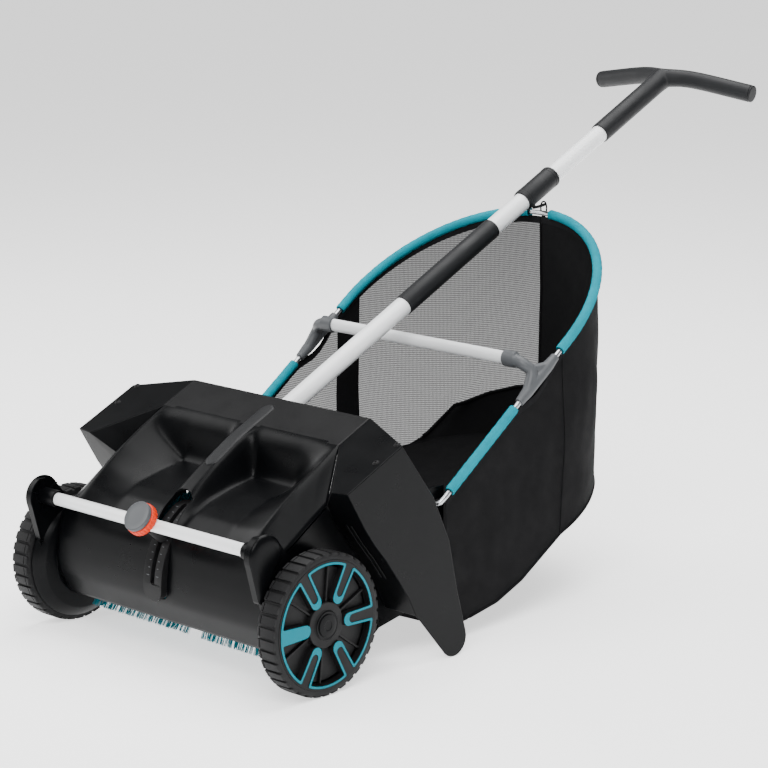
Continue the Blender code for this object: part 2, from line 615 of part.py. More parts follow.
def hoop_run(start, stop, side=1):
    """Stations of one half of the hoop between two of its parameters."""
    points = [hoop_point(s) for s in HOOP_STATIONS if start - 1e-6 <= s <= stop + 1e-6]
    return [Vector((p.x * side, p.y, p.z)) for p in points]


def bag_bottom(y):
    """Height of the bag's floor, lowest behind the chute and rising to the rear."""
    knots = [(0.2900, 0.0240), (0.3400, 0.0270), (0.4030, 0.0385), (0.4580, 0.0605), (0.5480, 0.1150),
             (0.6600, 0.1575), (0.7630, 0.1850)]
    for (y0, z0), (y1, z1) in zip(knots, knots[1:]):
        if y <= y1 + 1e-6:
            return z0 + (z1 - z0) * (y - y0) / (y1 - y0)
    return knots[-1][1]


def bag_fabric(mats, pivot):
    half = hoop_run(0.0, 2.0)[::2]
    lip = 0.0420
    faces = []
    columns = []
    for point in half:
        top, bottom = point.z - 0.0130, bag_bottom(point.y)
        heights = [bottom, bottom + lip, (bottom + lip + top) / 2, top]
        columns.append([(point.x, point.y, z) for z in heights])
    for near, far in zip(columns, columns[1:]):
        for i in range(len(near) - 1):
            wall = [near[i], far[i], far[i + 1], near[i + 1]]
            faces += [wall, [(-x, y, z) for x, y, z in wall]]
        floor = [near[0], far[0], (-far[0][0], *far[0][1:]), (-near[0][0], *near[0][1:])]
        faces.append(floor if far[0][0] > 1e-6 else [floor[0], floor[1], floor[3]])
    x, y, z = columns[0][0]
    faces.append([(x, y, z), (-x, y, z), (-x, y, z + lip), (x, y, z + lip)])
    item = add("bag_fabric", sheet(faces), mats["black_fabric"], pivot)
    solidify = item.modifiers.new("cloth", "SOLIDIFY")
    solidify.thickness = 0.0020
    solidify.offset = -1


def bag(mats, pivot):
    end_y, end_z = hoop_end()
    foot_bend = Vector((0.2308, end_y + 0.0040, end_z + 0.0028))
    right = [Vector((0.2110, end_y, end_z)), Vector((0.2270, end_y, end_z)), foot_bend] + hoop_run(0.0, 2.0)
    left = [Vector((-p.x, p.y, p.z)) for p in right[:-1]]
    add("hoop_wire", sweep(right + left[::-1], WIRE_R, normal=HOOP_NORMAL), mats["steel"], pivot)
    for name, side in SIDES:
        lower = hoop_run(0.03, 0.55, side)
        upper = hoop_run(0.93, 1.94, side)
        for label, path in (("lower", lower), ("upper", upper)):
            hem = sweep(path, 0.0075, WIRE_R + 2 * GAP, normal=HOOP_NORMAL)
            add(f"hem_{label}_{name}", hem, mats["turquoise_fabric"], pivot)
        connector(mats, pivot, name, side)
    bar = bar_run(-0.1960, 0.1960, 0.0100, 0.70, bore=0.0085)
    add("bag_crossbar", bar, mats["light_metal"], pivot)
    bag_fabric(mats, pivot)
    loop = [Vector((0.0060 * math.cos(t), 0.7700, 0.5625 + 0.0125 * math.sin(t)))
            for t in (math.tau * i / 12 for i in range(12))]
    add("hook_cord", closed_tube(loop, 0.0014), mats["black_fabric"], pivot)


def bar_run(x_from, x_to, half_height, flat, bore=0.0):
    """Upright oval section along the line of the bag's cross bar."""
    ends = [(x_from, BAG_BAR_Y, BAG_BAR_Z), (x_to, BAG_BAR_Y, BAG_BAR_Z)]
    return sweep(ends, half_height, bore, 12, flat, Vector((0, 0, 1)))


def closed_tube(path, radius, sides=5):
    bm = bmesh.new()
    rings = []
    for i, point in enumerate(path):
        ahead = (path[(i + 1) % len(path)] - path[i - 1]).normalized()
        out = Vector((0, 1, 0))
        across = ahead.cross(out)
        rings.append([bm.verts.new(point + radius * (out * math.cos(t) + across * math.sin(t)))
                      for t in (math.tau * k / sides for k in range(sides))])
    for i, near in enumerate(rings):
        far = rings[(i + 1) % len(rings)]
        for k in range(sides):
            j = (k + 1) % sides
            bm.faces.new((near[k], near[j], far[j], far[k]))
    return bm


def connector(mats, pivot, name, side):
    """Moulding that clamps the wire and holds the end of the bag's cross bar."""
    sleeve = sweep(hoop_run(0.59, 0.89, side), 0.0088, WIRE_R + 2 * GAP, normal=HOOP_NORMAL)
    item = add(f"hoop_connector_{name}", sleeve, mats["grey_plastic"], pivot)
    low = Vector((side * 0.2290, 0.4900, 0.3680))
    high = Vector((side * 0.1990, 0.4760, 0.3905))
    knee = (low + high) / 2 + Vector((0, 0, 0.004))
    combine(item, "UNION", sweep([low, knee, high], 0.0085, sides=8), "branch")
    cup = bar_run(side * 0.2020, side * 0.1800, 0.0125, 0.780)
    combine(item, "UNION", cup, "bar_cup")
    hole = bar_run(side * 0.1964, side * 0.1700, 0.0103, 0.705)
    combine(item, "DIFFERENCE", hole, "bar_hole")
    bore = sweep(hoop_run(0.55, 0.93, side), WIRE_R + 2 * GAP, normal=HOOP_NORMAL)
    combine(item, "DIFFERENCE", bore, "wire_hole")


# --- assembly -----------------------------------------------------------------------------------
def build():
    clear_scene()
    mats = {
        "black_plastic": material("black_plastic", (0.018, 0.019, 0.021), 0.35),
        "grey_plastic": material("grey_plastic", (0.145, 0.150, 0.158), 0.50),
        "charcoal_plastic": material("charcoal_plastic", (0.062, 0.065, 0.070), 0.55),
        "orange_plastic": material("orange_plastic", (1.0, 0.115, 0.008), 0.45),
        "turquoise_plastic": material("turquoise_plastic", (0.0, 0.505, 0.630), 0.45),
        "turquoise_bristle": material("turquoise_bristle", (0.0, 0.505, 0.630), 0.50),
        "turquoise_fabric": material("turquoise_fabric", (0.0, 0.505, 0.630), 0.85),
        "black_fabric": material("black_fabric", (0.030, 0.030, 0.032), 0.90),
        "tyre_rubber": material("tyre_rubber", (0.020, 0.020, 0.021), 0.70),
        "white_metal": material("white_metal", (0.86, 0.87, 0.87), 0.30),
        "light_metal": material("light_metal", (0.76, 0.77, 0.78), 0.35),
        "steel": material("steel", (0.55, 0.56, 0.57), 0.30, 1.0),
    }
    machine = empty("machine", (0, -ORIGIN_Y, 0))
    adjuster_pivot = empty("adjuster_pivot", (0, BRUSH_Y, BRUSH_Z), machine)
    brush_pivot = empty("brush_pivot", (0, BRUSH_Y, BRUSH_Z), machine)
    knob_pivot = empty("knob_pivot", radial(BAR_REACH), machine)
    bag_pivot = empty("bag_pivot", (0, hoop_end()[0], hoop_end()[1]), machine)
    hood(mats, machine)
    height_track(mats, machine)
    rear_chute(mats, machine)
    handle(mats, machine)
    adjuster(mats, adjuster_pivot, knob_pivot)
    brush(mats, brush_pivot)
    bag(mats, bag_pivot)
    for name, side in SIDES:
        side_wall(mats, machine, name, side)
        side_casing(mats, machine, name, side)
        brush_bush(mats, machine, name, side)
        wheel_pivot = empty(f"wheel_pivot_{name}", (0, 0, AXLE_Z), machine)
        pinion_pivot = empty(f"pinion_pivot_{name}", (0, BRUSH_Y, BRUSH_Z), machine)
        wheel(mats, wheel_pivot, pinion_pivot, name, side)


build()
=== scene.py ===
"""Looks of the push lawn sweeper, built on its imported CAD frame.

Lengths are metres.  Outlines are (y, z) points, with y measured from the wheels' axle and z from the
ground, and piece() moves each finished mesh to its place in the frame.
"""

import json
import math
import random

import bmesh
import bpy
from mathutils import Matrix, Vector, noise


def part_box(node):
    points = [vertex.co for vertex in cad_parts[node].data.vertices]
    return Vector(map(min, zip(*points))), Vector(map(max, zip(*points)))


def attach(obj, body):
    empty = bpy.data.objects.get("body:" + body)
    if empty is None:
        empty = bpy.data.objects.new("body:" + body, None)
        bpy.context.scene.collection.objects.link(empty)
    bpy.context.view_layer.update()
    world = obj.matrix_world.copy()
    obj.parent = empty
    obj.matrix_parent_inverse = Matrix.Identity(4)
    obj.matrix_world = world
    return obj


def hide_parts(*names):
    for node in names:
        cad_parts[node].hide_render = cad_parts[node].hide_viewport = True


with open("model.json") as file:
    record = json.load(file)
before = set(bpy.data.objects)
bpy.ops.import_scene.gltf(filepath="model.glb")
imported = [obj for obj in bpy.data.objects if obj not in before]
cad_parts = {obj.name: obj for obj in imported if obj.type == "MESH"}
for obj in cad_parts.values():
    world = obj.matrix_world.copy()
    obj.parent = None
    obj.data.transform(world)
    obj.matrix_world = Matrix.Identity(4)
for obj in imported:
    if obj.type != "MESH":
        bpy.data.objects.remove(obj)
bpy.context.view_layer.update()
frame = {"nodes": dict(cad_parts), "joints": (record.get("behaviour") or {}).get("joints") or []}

# --- dimensions taken from the frame ------------------------------------------------------------
joint_at = {j["name"]: Vector(j["pos_m"]) for j in frame["joints"] if "pos_m" in j}
AXLE = joint_at["wheel_right_spin"]
SHIFT = Vector((0.0, AXLE.y, 0.0))
AXLE_Z = AXLE.z
BRUSH_Y, BRUSH_Z = joint_at["brush_spin"].y - AXLE.y, joint_at["brush_spin"].z
BAR_Y, BAR_Z = joint_at["knob_turn"].y - AXLE.y, joint_at["knob_turn"].z
BAR_R = (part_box("cross_bar")[1].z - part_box("cross_bar")[0].z) / 2
BAR_END_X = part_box("cross_bar")[1].x
BAG_BAR_END_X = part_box("bag_crossbar")[1].x
SIDES = (("right", 1), ("left", -1))

# --- driving dimensions of the looks ------------------------------------------------------------
WALL = 0.003
RIDGE_X, HOOD_X, PLATE_X = 0.1845, 0.2225, 0.284
RIB_X, RIB_FOOT_X, POCKET_X = 0.0165, 0.03, 0.118
ROOF_SLOPE = 0.456
TRACK_R, TRACK_HALF, TRACK_SLOT_HALF = 0.125, 0.019, 0.0042
BAR_BORE, CLAMP_BORE, AXLE_BORE = 0.0081, 0.0034, 0.0066
TUBE_R, TUBE_BORE, TUBE_SLOPE, TUBE_AT = 0.0145, 0.0133, 0.4773, (0.2188, 0.3426)
WIRE_R, HOOP_X, HOOP_TURN_Y, HOOP_APEX_Y = 0.004, 0.232, 0.56, 0.763
HOOP_SLOPE, HOOP_Z0, LEG_Y = 0.71, 0.0158, 0.29
BAG_BAR_Y, BAG_BAR_Z = 0.475, 0.3915
TREAD_R, LUG_R, LUGS = 0.0996, 0.1023, 38
RIM_R, FACE_X, POCKET_FLOOR_X, HUB_PLATE_R = 0.092, 0.2795, 0.2697, 0.0325
SPOKES = 6
TIP_R, TUFT_PITCH, TUFT_BRISTLES, BRISTLE_R, ROWS = 0.1027, 0.0058, 9, 0.0005, 4
ROW_ENDS = (0.0035, 0.21)
ROW_START = {"right": -110, "left": -125}
KNOB_R, KNOB_CAP_R, KNOB_H, KNOB_CAP_H = 0.0242, 0.0228, 0.011, 0.008

FRONT = [(-0.0385, 0.0565), (-0.06, 0.0945), (-0.0625, 0.115), (-0.06, 0.1385), (-0.0545, 0.1745)]
CREASE, ROOF_REAR = (0.1195, 0.3198), (0.182, 0.3483)
TOP = FRONT + [(-0.05, 0.197), (-0.035, 0.2215), (0.0000, 0.249), (0.037, 0.2745),
               (0.085, 0.303), (0.112, 0.3163), CREASE, ROOF_REAR]
FLOOR = FRONT + [(-0.043, 0.1965), (-0.02, 0.2165), (0.01, 0.231), (0.05, 0.242),
                 (0.1, 0.2505), (0.108, 0.312), CREASE, ROOF_REAR]
EDGE = FRONT + [(-0.048, 0.186), (-0.036, 0.194), (-0.0105, 0.2081), (0.01, 0.2218),
                (0.0244, 0.2311), (0.042, 0.2422), (0.057, 0.2516)]
CASING_FRONT = [(0.057, 0.2516), (0.07, 0.2257), (0.09, 0.198), (0.1124, 0.1719),
                (0.1389, 0.1362), (0.1594, 0.1055), (0.1735, 0.0775)]


# --- mesh tools ---------------------------------------------------------------------------------
def add_object(name, data):
    item = bpy.data.objects.new(name, data)
    bpy.context.scene.collection.objects.link(item)
    return item


def add_mesh(name, bm):
    mesh = bpy.data.meshes.new(name)
    bm.to_mesh(mesh)
    bm.free()
    return add_object(name, mesh)


def to_frame(bm):
    """Carry a mesh from machine coordinates into the frame, its faces turned outwards."""
    bmesh.ops.translate(bm, vec=SHIFT, verts=bm.verts[:])
    bmesh.ops.recalc_face_normals(bm, faces=bm.faces[:])
    return bm


def roll_edges(item, width, steps, angle, harden=True):
    """Round the edges that turn by more than an angle."""
    edge = item.modifiers.new("edge", "BEVEL")
    edge.width, edge.segments, edge.limit_method = width, steps, "ANGLE"
    edge.angle_limit, edge.harden_normals = math.radians(angle), harden


def piece(name, bm, looks, body, stands_for=(), smooth=35.0, bevel=0.0):
    """Turn a mesh in machine coordinates into a shown piece that rides on its CAD body."""
    item = add_mesh(name, to_frame(bm))
    for look in looks if isinstance(looks, list) else [looks]:
        item.data.materials.append(MATS[look])
    item.data.shade_smooth()
    item.data.set_sharp_from_angle(angle=math.radians(smooth))
    if bevel:
        roll_edges(item, bevel, 2, smooth)
    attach(item, body)
    if stands_for:
        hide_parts(*stands_for)
    return item


def bake(item):
    """Replace an object's mesh with what its modifiers make of it."""
    bpy.context.view_layer.update()
    shaped = item.evaluated_get(bpy.context.evaluated_depsgraph_get())
    mesh = bpy.data.meshes.new_from_object(shaped)
    item.modifiers.clear()
    item.data = mesh


def cut(item, bm):
    """Take one solid, in machine coordinates, out of a piece."""
    cutter = add_mesh("cutter", to_frame(bm))
    modifier = item.modifiers.new("cut", "BOOLEAN")
    modifier.operation, modifier.solver, modifier.object = "DIFFERENCE", "EXACT", cutter
    bake(item)
    bpy.data.objects.remove(cutter, do_unlink=True)


def thicken(item, even_offset=False):
    """Give a skin the moulding's wall, grown inwards."""
    wall = item.modifiers.new("wall", "SOLIDIFY")
    wall.thickness, wall.offset, wall.use_even_offset = WALL, -1, even_offset


def one_skin(item, voxel, rounds):
    """Blend a piece's overlapping parts into one smooth skin."""
    skin = item.modifiers.new("one_skin", "REMESH")
    skin.mode, skin.voxel_size, skin.use_smooth_shade = "VOXEL", voxel, True
    flow = item.modifiers.new("flow", "SMOOTH")
    flow.factor, flow.iterations = 0.5, rounds
    bake(item)


def merge(bm, other):
    """Add another mesh to this one."""
    held = bpy.data.meshes.new("held")
    other.to_mesh(held)
    other.free()
    bm.from_mesh(held)
    bpy.data.meshes.remove(held)
    return bm


def mirrored(bm, side):
    """A right-hand mesh turned into its left-hand twin where the side is -1."""
    if side < 0:
        bmesh.ops.scale(bm, vec=(-1, 1, 1), verts=bm.verts[:])
        bmesh.ops.reverse_faces(bm, faces=bm.faces[:])
    return bm


def placed(bm, start, direction):
    """Carry a mesh built along X to a start point, turned to point along a direction."""
    turn = Vector((1, 0, 0)).rotation_difference(Vector(direction)).to_matrix().to_4x4()
    bmesh.ops.transform(bm, matrix=Matrix.Translation(start) @ turn, verts=bm.verts[:])
    return bm


def circle(radius, centre=(0.0, 0.0), count=64):
    turns = [math.tau * i / count for i in range(count)]
    return [(centre[0] + radius * math.cos(t), centre[1] + radius * math.sin(t)) for t in turns]


def oval(wide, tall):
    return [(wide * a, tall * b) for a, b in circle(1.0, count=48)]


def arc(radius, centre, start, stop, count):
    """Points on a circle between two angles in degrees."""
    turns = [math.radians(start + (stop - start) * i / (count - 1)) for i in range(count)]
    return [(centre[0] + radius * math.cos(t), centre[1] + radius * math.sin(t)) for t in turns]


def rounded(outline, radius, count=5, limit=12.0):
    """Closed outline with its corners turned into arcs."""
    made = []
    for i, point in enumerate(outline):
        here = Vector(point)
        back = Vector(outline[i - 1]) - here
        ahead = Vector(outline[(i + 1) % len(outline)]) - here
        bend = math.pi - back.angle(ahead, math.pi)
        if math.degrees(bend) < limit:
            made.append(tuple(here))
            continue
        reach = min(radius * math.tan(bend / 2), 0.45 * back.length, 0.45 * ahead.length)
        start, stop = here + back.normalized() * reach, here + ahead.normalized() * reach
        for k in range(count):
            t = k / (count - 1)
            made.append(tuple(start * (1 - t) ** 2 + here * 2 * t * (1 - t) + stop * t * t))
    return made


def prism(outlines, x_from, x_to):
    """Solid along X from (y, z) outlines: the first is the rim, the others are holes."""
    bm = bmesh.new()
    edges = []
    for outline in outlines:
        verts = [bm.verts.new((x_from, y, z)) for y, z in outline]
        edges += [bm.edges.new(pair) for pair in zip(verts, verts[1:] + verts[:1])]
    bmesh.ops.triangle_fill(bm, use_beauty=True, use_dissolve=True, edges=edges)
    grown = bmesh.ops.extrude_face_region(bm, geom=bm.faces[:])
    top = [v for v in grown["geom"] if isinstance(v, bmesh.types.BMVert)]
    bmesh.ops.translate(bm, vec=(x_to - x_from, 0, 0), verts=top)
    return bm


def lathe(profile, centre=(0.0, 0.0), segments=72, closed=False):
    """Turned about X from (x, radius) points; an open profile starts and ends on the axis."""
    bm = bmesh.new()
    rows = []
    for x, radius in profile:
        points = circle(radius, centre, segments) if radius > 1e-6 else [centre]
        rows.append([bm.verts.new((x, y, z)) for y, z in points])
    following = rows[1:] + rows[:1] if closed else rows[1:]
    for near, far in zip(rows, following):
        for k in range(segments):
            j = (k + 1) % segments
            corners = [near[k % len(near)], near[j % len(near)], far[j % len(far)], far[k % len(far)]]
            corners = list(dict.fromkeys(corners))
            if len(corners) > 2:
                bm.faces.new(corners)
    return bm


def rod(start, stop, radius, bore=0.0, chamfer=0.0006, segments=48):
    """Round bar or pipe between two points, with eased ends."""
    start, stop = Vector(start), Vector(stop)
    long = (stop - start).length
    profile = [(0.0, bore), (0.0, radius - chamfer), (chamfer * 0.3, radius - chamfer * 0.3),
               (chamfer, radius), (long - chamfer, radius), (long - chamfer * 0.3, radius - chamfer * 0.3),
               (long, radius - chamfer), (long, bore)]
    return placed(lathe(profile, segments=segments, closed=bore > 0), start, stop - start)


def sweep(path, section, normal=None, closed=False):
    """Section carried along a path.  A section is (side, across) points, or a function of the station."""
    bm = bmesh.new()
    side = Vector((1, 0, 0))
    rings = []
    last = len(path) - 1
    for i, point in enumerate(path):
        before = path[i - 1] if i or closed else path[0]
        after = path[(i + 1) % len(path)] if i < last or closed else path[last]
        ahead = (after - before).normalized()
        lead = normal or side
        side = lead - ahead * lead.dot(ahead)
        side = side.normalized() if side.length > 0.1 else ahead.orthogonal().normalized()
        across = ahead.cross(side)
        points = section(i) if callable(section) else section
        rings.append([bm.verts.new(point + side * a + across * b) for a, b in points])
    count = len(rings[0])
    for i in range(len(rings) if closed else last):
        near, far = rings[i], rings[(i + 1) % len(rings)]
        for k in range(count):
            j = (k + 1) % count
            bm.faces.new((near[k], near[j], far[j], far[k]))
    if not closed:
        bm.faces.new(rings[0])
        bm.faces.new(rings[-1])
    return bm


def smooth_path(points, steps):
    """Catmull-Rom curve through the points."""
    points = [Vector(p) for p in points]
    ends = [2 * points[0] - points[1]] + points + [2 * points[-1] - points[-2]]
    path = []
    for a, b, c, d in zip(ends, ends[1:], ends[2:], ends[3:]):
        for k in range(steps):
            t = k / steps
            path.append(0.5 * (2 * b + (c - a) * t + (2 * a - 5 * b + 4 * c - d) * t * t
                               + (3 * b - a - 3 * c + d) * t ** 3))
    return path + [points[-1]]


def grid(rows, uvs=None, closed=False):
    """Surface through rows of points, with a UV laid out in metres where one is given."""
    bm = bmesh.new()
    verts = [[bm.verts.new(p) for p in row] for row in rows]
    layer = bm.loops.layers.uv.new("UVMap") if uvs else None
    columns = len(rows[0])
    for i in range(len(rows) - 1):
        for k in range(columns if closed else columns - 1):
            j = (k + 1) % columns
            face = bm.faces.new((verts[i][k], verts[i][j], verts[i + 1][j], verts[i + 1][k]))
            if uvs:
                for loop, (a, b) in zip(face.loops, ((i, k), (i, j), (i + 1, j), (i + 1, k))):
                    loop[layer].uv = uvs[a][b]
    return bm


def capped(rows):
    """Rings of points joined into a solid, with the first and last ring filled."""
    bm = grid(rows, closed=True)
    bm.verts.ensure_lookup_table()
    bm.faces.new(bm.verts[:len(rows[0])])
    bm.faces.new(bm.verts[-len(rows[0]):])
    return bm


def mix(a, b, t):
    return a + (b - a) * t


def ease(t):
    t = min(1.0, max(0.0, t))
    return t * t * (3 - 2 * t)


def between(knots, at):
    """Value read off straight lines through (position, value) knots."""
    for (x0, v0), (x1, v1) in zip(knots, knots[1:]):
        if at <= x1:
            return mix(v0, v1, max(0.0, (at - x0) / (x1 - x0)))
    return knots[-1][1]


# --- materials ----------------------------------------------------------------------------------
class Nodes:
    """Small helper that builds one material's shader."""

    def __init__(self, name):
        self.mat = bpy.data.materials.new(name)
        self.mat.use_nodes = True
        self.tree = self.mat.node_tree
        self.shader = self.tree.nodes["Principled BSDF"]

    def new(self, kind, **settings):
        node = self.tree.nodes.new(kind)
        for key, value in settings.items():
            setattr(node, key, value)
        return node

    def link(self, source, target):
        self.tree.links.new(source, target)

    def noise(self, coords, size, detail=3.0, rough=0.55):
        node = self.new("ShaderNodeTexNoise")
        node.inputs["Scale"].default_value = 1.0 / size
        node.inputs["Detail"].default_value = detail
        node.inputs["Roughness"].default_value = rough
        self.link(coords, node.inputs["Vector"])
        return node.outputs["Fac"]

    def spread(self, source, low, high, start=0.3, stop=0.7):
        node = self.new("ShaderNodeMapRange")
        for key, value in (("From Min", start), ("From Max", stop), ("To Min", low), ("To Max", high)):
            node.inputs[key].default_value = value
        self.link(source, node.inputs["Value"])
        return node.outputs["Result"]

    def maths(self, operation, a, b=None):
        node = self.new("ShaderNodeMath", operation=operation)
        for socket, value in zip(node.inputs, (a, b)):
            if isinstance(value, (int, float)):
                socket.default_value = value
            elif value is not None:
                self.link(value, socket)
        return node.outputs["Value"]

    def tint(self, colour, factor, low, high):
        """Colour made darker or lighter by a factor from 0 to 1."""
        node = self.new("ShaderNodeMix", data_type="RGBA")
        node.inputs["A"].default_value = (*[c * low for c in colour], 1.0)
        node.inputs["B"].default_value = (*[min(1.0, c * high) for c in colour], 1.0)
        self.link(factor, node.inputs["Factor"])
        return node.outputs["Result"]

    def bump(self, height, strength, distance):
        node = self.new("ShaderNodeBump")
        node.inputs["Strength"].default_value = strength
        node.inputs["Distance"].default_value = distance
        self.link(height, node.inputs["Height"])
        return node.outputs["Normal"]


def hard(name, colour, rough, grain=0.0008, relief=0.15, metal=0.0, coat=0.0, vary=0.1, stretch=None,
         gloss=0.5):
    """Moulded, painted or metal surface: fine grain, slow wear and dust in its roughness and tone."""
    n = Nodes(name)
    coords = n.new("ShaderNodeTexCoord").outputs["Object"]
    fine_from = coords
    if stretch:
        mapping = n.new("ShaderNodeMapping")
        mapping.inputs["Scale"].default_value = stretch
        n.link(coords, mapping.inputs["Vector"])
        fine_from = mapping.outputs["Vector"]
    fine = n.noise(fine_from, grain)
    slow = n.noise(coords, 0.045, 4.0)
    n.link(n.tint(colour, slow, 1.0 - vary, 1.0 + vary), n.shader.inputs["Base Color"])
    n.link(n.spread(slow, rough * 0.85, min(1.0, rough * 1.2)), n.shader.inputs["Roughness"])
    n.link(n.bump(fine, relief, grain * 0.25), n.shader.inputs["Normal"])
    n.shader.inputs["Metallic"].default_value = metal
    n.shader.inputs["Specular IOR Level"].default_value = gloss
    n.shader.inputs["Coat Weight"].default_value = coat
    n.shader.inputs["Coat Roughness"].default_value = 0.12
    return n.mat


def woven(name, colour, pitch, gloss, rib=1.0, open_share=0.0):
    """Plain weave on a UV in metres.  An open weave lets light through between its threads."""
    n = Nodes(name)
    uv = n.new("ShaderNodeSeparateXYZ")
    n.link(n.new("ShaderNodeTexCoord").outputs["UV"], uv.inputs["Vector"])
    waves = []
    for axis, step in (("X", pitch), ("Y", pitch * rib)):
        wave = n.maths("SINE", n.maths("MULTIPLY", uv.outputs[axis], math.pi / step))
        waves.append(n.maths("ABSOLUTE", wave))
    thread = n.maths("MAXIMUM", *waves)
    coords = n.new("ShaderNodeTexCoord").outputs["Object"]
    slow = n.noise(coords, 0.03, 4.0)
    fibre = n.noise(coords, pitch * 0.6, 2.0)
    tone = n.maths("ADD", n.maths("MULTIPLY", thread, 0.6), 0.4)
    tone = n.maths("MULTIPLY", tone, n.spread(slow, 0.85, 1.15))
    n.link(n.tint(colour, tone, 0.35, 1.35), n.shader.inputs["Base Color"])
    relief = n.bump(n.maths("ADD", thread, n.maths("MULTIPLY", fibre, 0.4)), 0.55, pitch * 0.3)
    n.link(relief, n.shader.inputs["Normal"])
    n.link(n.spread(slow, 0.78, 0.95), n.shader.inputs["Roughness"])
    n.shader.inputs["Specular IOR Level"].default_value = gloss
    if open_share:
        cover = n.spread(thread, 1.0 - 4 * open_share, 1.0 - open_share, 0.45, 0.95)
        n.link(cover, n.shader.inputs["Alpha"])
    return n.mat


HARD_LOOKS = {
    "black_plastic": dict(colour=(0.0016, 0.0018, 0.0022), rough=0.3, relief=0.08, gloss=0.09),
    "satin_plastic": dict(colour=(0.006, 0.006, 0.0064), rough=0.46, grain=0.0006, gloss=0.14),
    "grey_plastic": dict(colour=(0.07, 0.074, 0.079), rough=0.42, gloss=0.3),
    "charcoal_plastic": dict(colour=(0.009, 0.0095, 0.0105), rough=0.48, grain=0.0006, relief=0.2,
                             gloss=0.22),
    "orange_plastic": dict(colour=(0.62, 0.028, 0.001), rough=0.45, vary=0.04, gloss=0.3),
    "turquoise_plastic": dict(colour=(0.0, 0.165, 0.215), rough=0.55, vary=0.04, gloss=0.1),
    "turquoise_bristle": dict(colour=(0.0, 0.2, 0.255), rough=0.55, vary=0.18, gloss=0.1),
    "tyre_rubber": dict(colour=(0.0085, 0.0085, 0.009), rough=0.6, grain=0.0011, relief=0.4, vary=0.2,
                        gloss=0.18),
    "white_metal": dict(colour=(0.84, 0.85, 0.86), rough=0.3, grain=0.0012, relief=0.08, coat=0.3,
                        vary=0.02),
    "light_metal": dict(colour=(0.74, 0.75, 0.76), rough=0.34, grain=0.0012, relief=0.1, vary=0.03),
    "steel": dict(colour=(0.52, 0.53, 0.55), rough=0.3, metal=1.0, stretch=(0.05, 1.0, 1.0)),
}
CLOTH_LOOKS = {
    "turquoise_fabric": dict(colour=(0.0, 0.175, 0.225), pitch=0.0011, gloss=0.1),
    "black_fabric": dict(colour=(0.0034, 0.0034, 0.0038), pitch=0.0012, gloss=0.12),
    "binding_fabric": dict(colour=(0.0055, 0.0055, 0.0062), pitch=0.0016, gloss=0.12),
    "mesh_fabric": dict(colour=(0.012, 0.0122, 0.013), pitch=0.0022, gloss=0.15, rib=1.6, open_share=0.06),
}
MATS = {name: hard(name, **look) for name, look in HARD_LOOKS.items()}
MATS.update({name: woven(name, **look) for name, look in CLOTH_LOOKS.items()})
for node in frame["nodes"].values():
    for k, held in enumerate(node.data.materials):
        base = held.name.split(".")[0] if held else ""
        if base in MATS:
            node.data.materials[k] = MATS[base]


# --- hood ---------------------------------------------------------------------------------------
def even(line, guide, step=0.0045, passes=3):
    """Outline resampled with the same counts as its guide's stretches, its corners eased."""
    points = []
    for (a, b), (c, d) in zip(zip(line, line[1:]), zip(guide, guide[1:])):
        count = max(2, round((Vector(d) - Vector(c)).length / step))
        points += [Vector(a).lerp(Vector(b), k / count) for k in range(count)]
    points.append(Vector(line[-1]))
    for _ in range(passes):
        inner = [(p + 2 * q + r) / 4 for p, q, r in zip(points, points[1:], points[2:])]
        points = [points[0]] + inner + [points[-1]]
    return points


TOP_LINE, FLOOR_LINE = even(TOP, TOP), even(FLOOR, TOP)
EDGE_LINE = even(EDGE, TOP)


def sink(x):
    """How far a station lies in the sunk pockets, from 0 on the rib and ridges to 1."""
    knots = [(0.0, 0.0), (RIB_X, 0.0), (RIB_FOOT_X, 1.0), (POCKET_X, 1.0), (RIDGE_X, 0.0), (1.0, 0.0)]
    spots = [abs(x) + d * 0.0015 for d in range(-2, 3)]
    return sum(between(knots, abs(s)) for s in spots) / len(spots)


def hood_shell():
    stations = [i * RIDGE_X / 54 for i in range(55)]
    stations += [mix(RIDGE_X, HOOD_X, k / 8) for k in range(1, 9)]
    stations = [-x for x in stations[:0:-1]] + stations
    bm = bmesh.new()
    columns = []
    for x in stations:
        if abs(x) <= RIDGE_X + 1e-9:
            t = sink(x)
            line = [a.lerp(b, t) for a, b in zip(TOP_LINE, FLOOR_LINE)]
        else:
            t = (abs(x) - RIDGE_X) / (HOOD_X - RIDGE_X)
            line = [a.lerp(b, t) for a, b in zip(TOP_LINE, EDGE_LINE)]
        columns.append([bm.verts.new((x, p.x, p.y)) for p in line])
    for near, far in zip(columns, columns[1:]):
        for i in range(min(len(near), len(far)) - 1):
            bm.faces.new((near[i], far[i], far[i + 1], near[i + 1]))
    inner = [v for v in bm.verts if not v.is_boundary]
    for _ in range(2):
        bmesh.ops.smooth_vert(bm, verts=inner, factor=0.4, use_axis_x=True, use_axis_y=True,
                              use_axis_z=True)
    return bm


def drum(r_in, r_out, start, stop, half_width, count):
    """Part of a drum about the brush axis, its ends rounded in plan."""
    rows = []
    for i in range(count + 1):
        turn = mix(start, stop, i / count)
        half = half_width
        left = math.radians(min(turn - start, stop - turn)) * r_out
        if left < half_width:
            half = max(0.0006, math.sqrt(max(0.0, half_width ** 2 - (half_width - left) ** 2)))
        y0, z0 = arc(r_in, (BRUSH_Y, BRUSH_Z), turn, turn, 2)[0]
        y1, z1 = arc(r_out, (BRUSH_Y, BRUSH_Z), turn, turn, 2)[0]
        rows.append([(-half, y0, z0), (half, y0, z0), (half, y1, z1), (-half, y1, z1)])
    return capped(rows)


